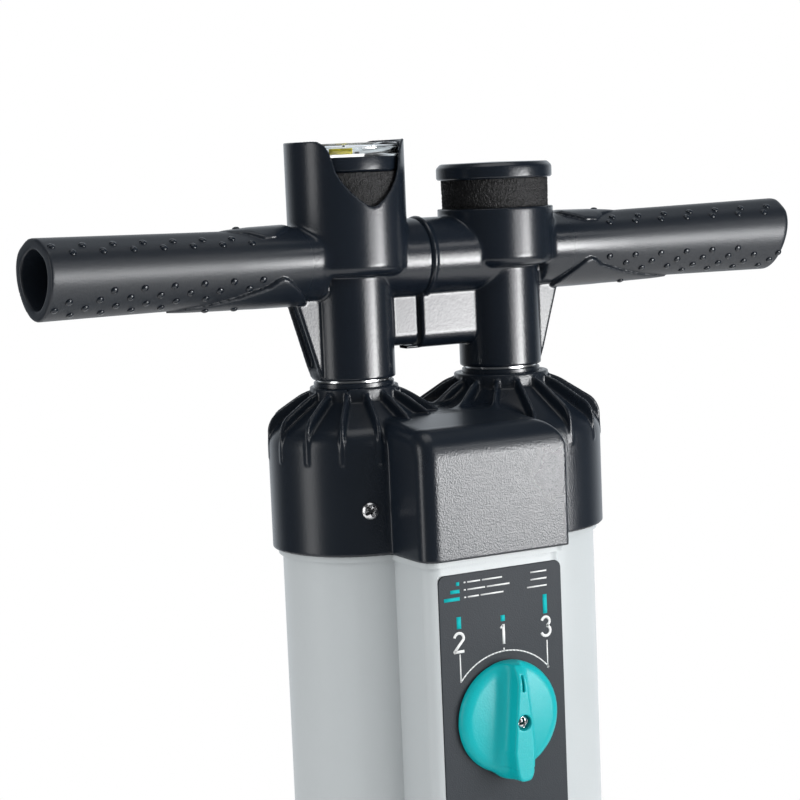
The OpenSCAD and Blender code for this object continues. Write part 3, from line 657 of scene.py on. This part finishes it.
NECK_H = 5.5
NECK_Z = CONE_TOP - NECK_H
CREST_SLOPE = math.tan(math.radians(33.4))
CREST_ROUND = 4.8
SHOULDER_ROUND = 3.0
SHOULDER_IN, SHOULDER_UP = 2.6, 1.6      # where the cone's slope starts, from the collar's upper edge
RIB_HALF, RIB_EDGE, RIB_FILLET = 0.95, 0.7, 1.4
RIB_Z = HEAD_Z + 44
SCREW_HOLE_R = 2.1
BOX_LID = HEAD_Z + 61.8
LID_RISE = 2.4      # from the lid's front to its back
ROLL_R, SIDE_ROLL_R, RIDGE_R, BOX_CORNER_R = 14.5, 16, 2.2, 8
SOCKET_Z = HEAD_Z + 37
CHAMBER_Z = (HEAD_Z + 36, HEAD_Z + 51, HEAD_Z + 55)
CHAMBER_R = {LEFT: (TUBE_R[LEFT], 25, 20.5), RIGHT: (TUBE_R[RIGHT], 25, 20.5)}
HEAD_SCREWS = [(LEFT, -20), (LEFT, -135), (LEFT, 150), (RIGHT, 100), (RIGHT, 150), (RIGHT, -135)]
HEAD_SCREW_Z = HEAD_Z + 22


def cone_parts(side, r, bearing, z):
    """The collar with its ribbed cone round one cylinder; bearing is in ribs from the first one."""
    collar, neck, shoulder = COLLAR_R[side], CONE_R[side], SHOULDER[side]
    rise, run = NECK_Z - shoulder - SHOULDER_UP, collar - SHOULDER_IN - neck + 1.2
    slant = (r - collar + SHOULDER_IN) * rise + (z - shoulder - SHOULDER_UP) * run
    wall = round_common(r - collar, HEAD_Z - z, edge=0.8)
    cone = smooth_common(wall, slant / math.hypot(rise, run), 2 * SHOULDER_ROUND)
    cone = np.maximum(cone, z - NECK_Z - 2)
    ring = round_common(r - neck - 0.3, between(z, NECK_Z - 4, CONE_TOP), edge=0.8)
    body = smooth_union(cone, ring, 1.0)
    crest_z = CONE_TOP - 1 - (collar - neck - 1) * CREST_SLOPE
    size = math.hypot(1, CREST_SLOPE)
    crest = ((z - crest_z) + (r - collar) * CREST_SLOPE) / size
    crest = round_common(r - collar - 0.2, crest, z - CONE_TOP + 0.8, edge=CREST_ROUND)
    nearest = (bearing - np.round(bearing)) * 2 * math.pi / RIB_COUNT
    rib = round_common(crest, np.abs(r * np.sin(nearest)) - RIB_HALF, RIB_Z - z, edge=RIB_EDGE)
    return smooth_union(body, rib, RIB_FILLET)


def head_box(x, y, z):
    """The box in front: its front rolls into the top, its right side meets the roll at a ridge."""
    lid = BOX_LID + LID_RISE * np.clip((y + 62) / 26, 0, 1)
    roll = round_common(BOX_FRONT - y, z - lid, edge=ROLL_R)
    right_side = round_common(x - BOX_X[1], z - lid - 0.6, edge=SIDE_ROLL_R)
    d = round_common(roll, right_side, edge=RIDGE_R)
    return round_common(d, BOX_X[0] - x, y - 14, edge=BOX_CORNER_R)


def head_shape(x, y, z):
    """The whole head: box and cones, hollowed for the cylinders, rods, valve chest and screws."""
    d = round_common(head_box(x, y, z), HEAD_Z - z, edge=0.6)
    for side, k in ((LEFT, 1.2), (RIGHT, 5.0)):
        v = x - side * AXIS_OFF
        bearing = np.arctan2(v, -y) * RIB_COUNT / (2 * math.pi) - 0.5
        d = smooth_union(d, cone_parts(side, hypot(v, y), bearing, z), k)
    for side in (LEFT, RIGHT):
        r = hypot(x - side * AXIS_OFF, y)
        socket = np.maximum(r - TUBE_R[side] - 0.3, z - SOCKET_Z)
        chamber = np.maximum(r - np.interp(z, CHAMBER_Z, CHAMBER_R[side]), HEAD_Z + 30 - z)
        d = smooth_cut(d, np.minimum(socket, np.minimum(chamber, r - ROD_R - 2.5)), 0.4)
        for _, turn in [q for q in HEAD_SCREWS if q[0] == side]:
            a = math.radians(turn)
            away = (x - side * AXIS_OFF) * math.sin(a) - y * math.cos(a)
            across = (x - side * AXIS_OFF) * math.cos(a) + y * math.sin(a)
            hole = hypot(across, z - HEAD_SCREW_Z)
            d = smooth_cut(d, np.maximum(hole - SCREW_HOLE_R, TUBE_R[side] - 5 - away), 0.4)
    chest = block((x, y, z), (-42, -72.0, HEAD_Z - 9), (28, -44.5, HEAD_Z + 47), 1)
    return smooth_cut(d, chest, 0.4)


head = carve("head_shell", head_shape, (-87, -78, HEAD_Z - 1), (93, 51, CONE_TOP + 1), HEAD_CELL)
finish_piece(head, "pump_body", "black_plastic", HEAD_FINISH, "head")

for side, node in ((LEFT, "rod_wiper_left"), (RIGHT, "rod_wiper_right")):
    section = [(ROD_R + 0.12, CONE_TOP - 3.8), (ROD_R + 2.4, CONE_TOP - 3.8), (ROD_R + 2.4, CONE_TOP - 0.2),
               (ROD_R + 1.7, CONE_TOP), (ROD_R + 1.7, CONE_TOP + 1.9), (ROD_R + 1.3, CONE_TOP + 2.3),
               (ROD_R + 0.6, CONE_TOP + 2.3), (ROD_R + 0.12, CONE_TOP + 1.8)]
    lip = turned_ring(node + "_lip", section, (side * AXIS_OFF, 0), 128)
    finish_piece(sharpen(lip), "pump_body", "rubber", BLACK, node)


# ---------------- selector knob

# How far out from the pump's middle the disc and ridge stand, and half the ridge's width by height.
DISC_BACK, DISC_FRONT, RIDGE_FRONT = 71.7, 77.6, 87.6
DISC_DOME = 1.2
RIDGE_HALF = [(-28.4, 3.2), (-24, 4.7), (-14, 5.5), (0, 4.3), (24, 1.9), (27, 1.7)]
RIDGE_DROP = 5.0      # at the ridge's narrow end
RIDGE_TOP, RIDGE_FOOT = 26.9, 28.6
FLANK = 0.12      # lean of the ridge's sides
SLOT = (14.8, 22.6)
SLOT_HALF, SLOT_DEEP = 0.55, 2.2
SHAFT_R, BOLT_R, SINK_R = 7.05, 2.1, 3.7
KNOB_SCREW_Y = 84.5      # where the screw head sits, out from the pump's middle
OPEN = -9.0      # stands for no limit where a limit holds on one half only


def knob_shape(x, y, z):
    """A domed disc with a grip ridge, its narrow end up and its round end over the disc's edge."""
    across, up, out = x - KNOB_X, z - KNOB_Z, -y
    r = hypot(across, up)
    dome = out - DISC_FRONT + DISC_DOME * (r / KNOB_R) ** 2
    disc = round_common(r - KNOB_R, DISC_BACK - out, edge=0.5)
    disc = smooth_common(disc, dome, 6.0)
    half = np.interp(up, *zip(*RIDGE_HALF))
    crest = RIDGE_FRONT - RIDGE_DROP * np.clip((up - 17) / 10, 0, 1) ** 2
    deep = np.maximum(RIDGE_FRONT - out, 0)
    ridge = round_common(np.abs(across) - half - FLANK * deep, out - crest,
                         np.where(up > 0, r - RIDGE_TOP, OPEN), -RIDGE_FOOT - up, DISC_BACK - out, edge=0.9)
    tip = hypot(across, up + 23.6) - 5.0 - 0.10 * deep
    ridge = smooth_common(ridge, np.where(up < -22, tip, OPEN), 1.2)
    d = smooth_union(disc, ridge, 6.0)
    d = smooth_common(d, np.maximum(DISC_BACK - out, np.where(up > 0, r - KNOB_R, OPEN)), 0.4)
    shaft = np.maximum(r - SHAFT_R, out - 76.0)
    d = smooth_cut(d, np.minimum(shaft, r - BOLT_R), 0.2)
    d = smooth_cut(d, np.maximum(r - SINK_R, KNOB_SCREW_Y - out), 0.4)
    slot = round_common(np.abs(across) - SLOT_HALF, between(up, *SLOT), RIDGE_FRONT - SLOT_DEEP - out,
                        edge=0.1)
    return smooth_cut(d, slot, 0.3)


knob = carve("knob_cap", knob_shape, (KNOB_X - 29, -89.5, KNOB_Z - 30), (KNOB_X + 29, -72, KNOB_Z + 29),
             KNOB_CELL)
finish_piece(knob, "selector", "knob_plastic", TEAL, "selector_knob")


# ---------------- cross-head screws

def screw_head(radius, height, cell):
    """The upper part of a pan-head screw with a cross recess, about its own axis, head upwards."""
    dome = radius * 1.25

    def field(x, y, z):
        r = hypot(x, y)
        ball = hypot(r, z - height + dome) - dome
        pan = smooth_common(round_common(r - radius, -z, edge=0.15), ball, 0.25)
        deep = height - 1.5 * (height - 0.2) * np.clip(1 - r / (radius * 0.78), 0, 1) ** 0.5
        arm = np.minimum(np.abs(x), np.abs(y)) - radius * (0.13 + 0.06 * np.clip(z / height, 0, 1))
        cross = round_common(arm, r - radius * 0.70, deep - z, edge=0.05)
        return smooth_cut(pan, cross, 0.12)

    m = radius + 0.4
    return surface(field, (-m, -m, -0.4), (m, m, height + 0.4), cell * (1))


def placed(part, place, out, turn=0.0):
    """Points turned so that their Z runs along out, then moved to place."""
    points, faces = part
    out = Vector(out).normalized()
    turning = out.to_track_quat("Z", "Y").to_matrix() @ Matrix.Rotation(turn, 3, "Z")
    return points @ np.array(turning).T + np.array(place), faces


screw = screw_head(4.1, 2.6, 0.14)
screw_set = []
for i, (side, turn) in enumerate(HEAD_SCREWS):
    a = math.radians(turn)
    out = (math.sin(a), -math.cos(a), 0)
    at = np.array((side * AXIS_OFF, 0, HEAD_SCREW_Z)) + (COLLAR_R[side] - 0.1) * np.array(out)
    screw_set.append(placed(screw, at, out, 0.5 + 1.3 * i))
finish_piece(joined("head_screw_set", screw_set), "pump_body", "steel", STEEL, "head_screws")
small = screw_head(3.5, 2.2, 0.12)
small_at = (KNOB_X, -KNOB_SCREW_Y, KNOB_Z)
finish_piece(joined("knob_screw_head", [placed(small, small_at, (0, -1, 0), 0.15)]),
             "selector", "steel", STEEL, "knob_screw")


# ---------------- label

LABEL_X = (-38.7, 28.7)
LABEL_Z = (HEAD_Z - 157.8, HEAD_Z - 7.5)
LABEL_Y = -71.2
LABEL_BACK = 70.35
LABEL_CORNER = 3.6
PRINT_H = 0.12      # how far the print stands out of the label


def round_outline(x0, z0, x1, z1, r, steps=8):
    """A rectangle with round corners, anticlockwise from its right side."""
    out = []
    corners = ((x1 - r, z1 - r), (x0 + r, z1 - r), (x0 + r, z0 + r), (x1 - r, z0 + r))
    for start, (cx, cz) in zip((0, 90, 180, 270), corners):
        for i in range(steps + 1):
            a = math.radians(start + 90 * i / steps)
            out.append((cx + r * math.cos(a), cz + r * math.sin(a)))
    return out


def plate(outline, depth_back, depth_front, edge=0.0):
    """A plate seen from the front, from an outline in (x, z) that runs anticlockwise."""
    n = len(outline)
    rings = [(outline, -depth_back)]
    if edge:
        c = np.mean(outline, 0)
        span = np.ptp(outline, 0) / 2
        inner = [tuple(c + (np.array(p) - c) * (1 - edge / span)) for p in outline]
        rings += [(outline, -depth_front + edge), (inner, -depth_front)]
    else:
        rings.append((outline, -depth_front))
    points = [(x, y, z) for ring, y in rings for x, z in ring]
    faces = [tuple(range(n))[::-1]] + band(len(rings), n)
    faces.append(tuple(range((len(rings) - 1) * n, len(rings) * n)))
    return points, faces


def stroke(points, width):
    """The outline round an open path in (x, z): its right side out, its left side back."""
    p = np.array(points, float)
    ahead = np.diff(p, axis=0)
    ahead /= np.linalg.norm(ahead, axis=1)[:, None]
    side = np.stack([-ahead[:, 1], ahead[:, 0]], 1)
    joint = np.vstack([side[:1], (side[:-1] + side[1:]) / 2, side[-1:]])
    joint /= (joint ** 2).sum(1)[:, None]
    right = p - joint * width / 2
    left = p + joint * width / 2
    return [tuple(q) for q in right] + [tuple(q) for q in left[::-1]]


def arc(cx, cz, r, start, end, steps=28):
    """Points on an arc; angles in degrees from straight up, clockwise."""
    return [(cx + r * math.sin(math.radians(a)), cz + r * math.cos(math.radians(a)))
            for a in np.linspace(start, end, steps + 1)]


def printed(outline):
    return plate(outline, -LABEL_Y - 0.05, -LABEL_Y + PRINT_H)


def strip(points, width):
    """A printed line, as one quad after another so that it may bend."""
    out = []
    ring = stroke(points, width)
    n = len(points)
    for i in range(n - 1):
        out.append(printed([ring[i], ring[i + 1], ring[2 * n - 2 - i], ring[2 * n - 1 - i]]))
    return out


def bar(x, z, w, h):
    """A printed rectangle about a point."""
    x0, x1, z0, z1 = x - w / 2, x + w / 2, z - h / 2, z + h / 2
    return printed([(x0, z0), (x1, z0), (x1, z1), (x0, z1)])


DIGIT_H, DIGIT_W, DIGIT_LINE = 9.5, 5.2, 1.35
ONE_LINE, FLAG_LINE = 1.45, 1.0


def digit(which, x, z):
    """The numeral 1, 2 or 3 in plain strokes, about a point."""
    w, h = DIGIT_W / 2, DIGIT_H / 2
    if which == 1:
        flag = strip([(x - 1.35, z + h - 1.7), (x, z + h - 0.55)], FLAG_LINE)
        return [bar(x + 0.3, z, ONE_LINE, DIGIT_H)] + flag
    if which == 2:
        bowl = arc(x, z + h - w, w - 0.1, -80, 105, 16)
        foot = [(x - w, z - h + 0.8), (x - w + 0.1, z - h + 0.5), (x + w, z - h + 0.5)]
        return strip(bowl + foot, DIGIT_LINE)
    upper = arc(x, z + h * 0.52, h * 0.46, -75, 165, 16)
    lower = arc(x, z - h * 0.44, h * 0.52, 10, 255, 18)
    return strip(upper, DIGIT_LINE) + strip(lower, DIGIT_LINE)


label_outline = round_outline(LABEL_X[0], LABEL_Z[0], LABEL_X[1], LABEL_Z[1], LABEL_CORNER)
label = joined("label_sheet", [plate(label_outline, LABEL_BACK, -LABEL_Y, 0.15)])
finish_piece(sharpen(label), "pump_body", "label_plastic", LABEL, "label_plate")

white = digit(2, -28.8, HEAD_Z - 40.1) + digit(1, -4.7, HEAD_Z - 39.3) + digit(3, 19.2, HEAD_Z - 38.9)
ARC_R, ARC_SPAN, THIN = 31.6, 50.5, 0.6
ring_line = arc(KNOB_X, KNOB_Z, ARC_R, -ARC_SPAN, ARC_SPAN)
white += strip(ring_line, THIN)
for x, z in (ring_line[0], (ring_line[-1][0] - 0.6, ring_line[-1][1])):
    white += strip([(x, z - 0.3), (x, HEAD_Z - 45.6)], THIN)
white += strip([(KNOB_X - 0.3, KNOB_Z + ARC_R), (KNOB_X - 0.3, HEAD_Z - 45.9)], THIN)

# Plain bars in place of three rows of small text: the widths of the words, and of the one at the right.
ROW_TOP, ROW_STEP = HEAD_Z - 11.7, 3.55
ROW_LEFT, ROW_RIGHT = -25.2, 20.5
WORD_GAP, WORD_H = 1.0, 0.7
ROWS = (((1.0, 7.0, 11.0), 9.0), ((1.0, 9.5, 12.5), 9.0), ((1.0, 6.0, 12.5), 11.0))
for row, (words, last) in enumerate(ROWS):
    x, z = ROW_LEFT, ROW_TOP - row * ROW_STEP
    for word in words:
        white.append(bar(x + word / 2, z, word, WORD_H))
        x += word + WORD_GAP
    white.append(bar(ROW_RIGHT - last / 2, z, last, WORD_H))
finish_piece(joined("label_white_print", white), "pump_body", "label_plastic", PRINT)
TEAL_W = 2.3
teal = []
for x, drop, tall in ((-28.6, 30.55, 5.7), (-4.6, 31.55, 2.9), (19.1, 27.85, 9.3)):
    teal.append(bar(x, HEAD_Z - drop, TEAL_W, tall))
for row, width in enumerate((1.7, 5.0, 8.5)):
    teal.append(bar(-27.6 - width / 2, ROW_TOP - 0.3 - row * ROW_STEP, width, 1.7))
finish_piece(joined("label_teal_print", teal), "pump_body", "label_plastic", TEAL_PRINT)


# ---------------- cap, gauge, foam and rods

noise = np.random.default_rng(7)
CAP_DOME = CAP_TOP + 2.6
CAP_ROUND = 2.2
POST_R, POST_HEAD_R = 10.6, 12
cap_profile = rounded_path([(0, CAP_Z), (CUP_R - 0.8, CAP_Z), (CUP_R, CAP_Z + 0.8),
                            (CUP_R, CAP_DOME - CAP_ROUND), (CUP_R - CAP_ROUND, CAP_DOME),
                            (0, CAP_DOME + 0.4)], CAP_ROUND, 6)
cap = lathe("filter_cap_disc", cap_profile, (AXIS_OFF, 0), 160)
finish_piece(cap, "filter_cap", "black_plastic", BLACK)
post_profile = rounded_path([(0, CUP_FLOOR + 0.3), (9.8, CUP_FLOOR + 0.3), (POST_R, CUP_FLOOR + 1.4),
                             (POST_R, CAP_Z - 2), (POST_HEAD_R, CAP_Z + 0.4), (0, CAP_Z + 0.4)], 1.2, 4)
post = lathe("filter_cap_post", post_profile, (AXIS_OFF, 0), 64)
finish_piece(post, "filter_cap", "black_plastic", BLACK, "filter_cap")


PIT = (-0.55, 0.1)      # how far the foam's face goes in and out
FOAM_TAPER = 0.6


def foam(name, centre, outer, inner, low, high):
    """An open-cell sleeve: a dense turned ring whose face is pitted cell by cell."""
    columns, rows = ((420, 60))
    section = [(inner, low)]
    for h in np.linspace(low, high, rows):
        section.append((outer - 0.6 - FOAM_TAPER * max(0, 1 - (h - low) / (high - low)), h))
    section.append((inner, high))
    section = np.array(section)[::-1]
    height = section[:, 1:]
    from_rim = np.minimum(height - low, high - height)
    pits = noise.uniform(*PIT, (len(section), columns)) * (from_rim > 0.3)
    return turned_ring(name, section, centre, columns, pits)


FOAM_SLEEVES = ((LEFT, "filter_left", GAUGE_Z - 0.15, 13.2), (RIGHT, "filter_right", CAP_Z - 0.1, 11.0))
for side, node, high, inner in FOAM_SLEEVES:
    piece = foam(node + "_foam", (side * AXIS_OFF, 0), CUP_IN_R - 0.1, inner, CUP_FLOOR + 0.05, high)
    finish_piece(piece, "handle", "foam", FOAM, node)

GAUGE_R, STEM_R, LENS_R, LENS_IN_R, GLASS = 26.3, 12.8, 26.4, 24.6, 1.7
gauge_at = (-AXIS_OFF, 0)
ring_top = DIAL_Z - 0.02
ring_section = rounded_path([(0, GAUGE_Z), (GAUGE_R - 0.9, GAUGE_Z), (GAUGE_R, GAUGE_Z + 1.2),
                             (GAUGE_R, ring_top), (0, ring_top)], 0.7, 4)
finish_piece(lathe("gauge_ring", ring_section, gauge_at, 160), "handle", "black_plastic", BLACK)
stem_low, stem_high = CUP_Z - 12, GAUGE_Z + 0.6
stem = rounded_path([(0, stem_low), (STEM_R - 0.8, stem_low), (STEM_R, stem_low + 1),
                     (STEM_R, stem_high), (0, stem_high)], 0.8, 3)
finish_piece(lathe("gauge_stem", stem, gauge_at, 64), "handle", "black_plastic", BLACK, "gauge_body")
lens_under = LENS_TOP - GLASS
lens_outer = rounded_path([(LENS_R, DIAL_Z), (LENS_R, LENS_TOP - 0.9), (LENS_R - 0.8, LENS_TOP),
                           (0.4, LENS_TOP)], 0.9, 6)
lens_inner = rounded_path([(0.4, lens_under), (LENS_IN_R - 0.4, lens_under), (LENS_IN_R, lens_under - 0.6),
                           (LENS_IN_R, DIAL_Z)], 0.6, 4)
lens = turned_ring("gauge_window", lens_outer + lens_inner, gauge_at, 160)
finish_piece(lens, "handle", "clear", CLEAR, "gauge_lens")


def disc_patch(r_in, r_out, start, end, z, steps=24, thick=0.08):
    """A flat printed patch on the dial, between two radii and two bearings."""
    points, faces = [], []
    for a in np.linspace(math.radians(start), math.radians(end), steps + 1):
        for r in (r_in, r_out):
            for h in (z, z + thick):
                points.append((gauge_at[0] + r * math.sin(a), gauge_at[1] - r * math.cos(a), h))
    for i in range(steps):
        b, c = 4 * i, 4 * i + 4
        faces += [(b + 1, b + 3, c + 3, c + 1), (b, c, c + 2, b + 2)]
        faces += [(b + 2, c + 2, c + 3, b + 3), (b, b + 1, c + 1, c)]
    faces += [(0, 2, 3, 1), (4 * steps, 4 * steps + 1, 4 * steps + 3, 4 * steps + 2)]
    return points, faces


SECTOR_FROM, SECTOR_TO = -44, -17
MARK_OUT, MARKS, MARK_SWEEP = 23.4, 31, 250
face_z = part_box("gauge_dial")[1].z / MM
sector = [disc_patch(19.5, 23.6, SECTOR_FROM, SECTOR_TO, face_z, 24, 3.4),
          disc_patch(12.0, 19.4, SECTOR_FROM, SECTOR_TO, face_z, 24, 0.3)]
finish_piece(joined("dial_sector", sector), "handle", "dial", SECTOR)
stop = disc_patch(21.0, MARK_OUT, -14, -9, face_z, 8, 2.2)
finish_piece(joined("dial_stop", [stop]), "handle", "dial", RUBBER)
marks = []
for i, turn in enumerate(np.linspace(0, MARK_SWEEP, MARKS)):
    inner, half = (19.5, 0.5) if i % 5 else (17.0, 0.9)
    marks.append(disc_patch(inner, MARK_OUT, turn - half, turn + half, face_z + 0.09, 2))
finish_piece(joined("dial_marks", marks), "handle", "dial", RUBBER)

ROD_WALL = 1.4
for side, node in ((LEFT, "rod_left"), (RIGHT, "rod_right")):
    low, high = bottom(node), top(node)
    tube = [(ROD_R, low), (ROD_R, high), (ROD_R - ROD_WALL, high), (ROD_R - ROD_WALL, low)]
    piece = turned_ring(node + "_tube", tube, (side * AXIS_OFF, 0), 128)
    finish_piece(sharpen(piece), "handle", "aluminium", ALUMINIUM, node)


# ---------------- CAD nodes that stay as they are

SHOWN = {
    "cylinder_body": GREY, "base": GRAINY, "foot_left": GRAINY, "foot_right": GRAINY,
    "outlet_port": BLACK, "valve_bush": BLACK, "valve_rotor": NYLON, "gauge_dial": DIAL,
    "gauge_needle": NEEDLE, "gauge_pivot": STEEL, "outlet_valve": VALVE,
    "piston_valve_left": VALVE, "piston_valve_right": VALVE, "rod_guide_left": NYLON,
    "rod_guide_right": NYLON, "piston_left": NYLON, "piston_right": NYLON, "base_screws": STEEL,
    "hinge_pin_left": STEEL, "hinge_pin_right": STEEL, "handle_screws": STEEL, "rod_screws": STEEL}
for name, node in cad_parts.items():
    node.data.materials.clear()
    node.data.materials.append(SHOWN.get(name, RUBBER))


# ---------------- camera, light and floor

bpy.context.scene.view_settings.view_transform = "Standard"

AZIMUTH, ELEVATION, ROLL = math.radians(28.01), math.radians(6.28), math.radians(2.39)
EYE = Vector((-494.6, -894.5, 576.3)) * MM
FOCAL = 92.54
SHIFT = (0.00456, -0.0041)
AIM_Z = 0.42      # metres, where the lamps point

back = Vector((-math.sin(AZIMUTH) * math.cos(ELEVATION), -math.cos(AZIMUTH) * math.cos(ELEVATION),
               math.sin(ELEVATION)))
right = (-back).cross(Vector((0, 0, 1))).normalized()
up = right.cross(-back)
image_right = math.cos(ROLL) * right - math.sin(ROLL) * up
image_up = math.cos(ROLL) * up + math.sin(ROLL) * right
camera = bpy.data.objects.new("camera", bpy.data.cameras.new("camera"))
camera.matrix_world = Matrix((image_right, image_up, back)).transposed().to_4x4()
camera.location = EYE
camera.data.lens = FOCAL
camera.data.sensor_width = 36
camera.data.shift_x, camera.data.shift_y = SHIFT
camera.data.clip_start = 0.05
camera.data.clip_end = 60
bpy.context.scene.collection.objects.link(camera)
bpy.context.scene.camera = camera


def softbox(name, bearing, height, distance, width, tall, watts, diffuse=True, glossy=True):
    """A rectangular lamp at a bearing from -Y towards +X, in degrees, aimed at the pump's axis.
    Height, distance and size are in metres."""
    lamp = bpy.data.lights.new(name, "AREA")
    lamp.shape = "RECTANGLE"
    lamp.size, lamp.size_y = width, tall
    lamp.energy = watts
    made = bpy.data.objects.new(name, lamp)
    made.visible_diffuse, made.visible_glossy = diffuse, glossy
    a = math.radians(bearing)
    made.location = (distance * math.sin(a), -distance * math.cos(a), height)
    aim = Vector((0, 0, AIM_Z)) - made.location
    made.rotation_euler = aim.to_track_quat("-Z", "Y").to_euler()
    bpy.context.scene.collection.objects.link(made)


softbox("key_strip", 34.5, 0.46, 0.60, 0.17, 0.23, 2.0, diffuse=False)
softbox("low_front", 30.5, 0.2, 1.3, 0.55, 0.34, 11, diffuse=False)
softbox("key_soft", 38, 0.6, 1.3, 0.6, 0.9, 14.5, glossy=False)
softbox("low_panel", 17, 0.465, 0.56, 0.16, 0.27, 0.75, diffuse=False)
softbox("upper_front", 24, 1.25, 1.35, 1.2, 0.12, 2.4)
softbox("left_fill", -92, 0.6, 1.6, 0.5, 1.4, 7)
softbox("overhead", 0, 2.1, 0.15, 1.2, 0.9, 5)

world = bpy.data.worlds.new("studio")
world.use_nodes = True
sky = world.node_tree
rays = add_node(sky, "LightPath")


def glow(strength, shade=(1, 1, 1)):
    """A plain background."""
    return add_node(sky, "Background", {"Color": (*shade, 1), "Strength": strength})


def choose(factor, first, second):
    """The first shader where factor is 0, the second where it is 1."""
    links = {0: factor, 1: first.outputs[0], 2: second.outputs[0]}
    return add_node(sky, "MixShader", links=links)


# What polished faces mirror: dim in front of the pump and bright behind it.
toward = add_node(sky, "TexCoord").outputs["Generated"]
behind = add_node(sky, "VectorMath", {1: (math.sin(AZIMUTH), math.cos(AZIMUTH), 0)}, {0: toward})
behind.operation = "DOT_PRODUCT"
limits = {"From Min": 0.45, "From Max": 0.85, "To Min": 0.06, "To Max": 0.95}
rise = add_node(sky, "MapRange", limits, {"Value": behind.outputs["Value"]})
reflected = glow(1.0, (0.88, 0.94, 1.0))
sky.links.new(rise.outputs["Result"], reflected.inputs["Strength"])
room = choose(rays.outputs["Is Glossy Ray"], glow(0.97), reflected)
seen = choose(rays.outputs["Is Camera Ray"], room, glow(1.0))
sky.links.new(seen.outputs[0], sky.nodes["World Output"].inputs["Surface"])
bpy.context.scene.world = world

FLOOR_REACH, FLOOR_SIDES = 0.8, 96
floor_points = [(0, 0, 0)] + [
    (FLOOR_REACH / MM * math.sin(a), FLOOR_REACH / MM * math.cos(a), 0)
    for a in np.arange(FLOOR_SIDES) * 2 * math.pi / FLOOR_SIDES]
floor_faces = [(0, 1 + (i + 1) % FLOOR_SIDES, 1 + i) for i in range(FLOOR_SIDES)]
floor = add_object("floor", floor_points, floor_faces)
floor.data.materials.append(material("floor", (0.86, 0.86, 0.86), 0.7, grain=40, depth=0.02, tint=0.01))
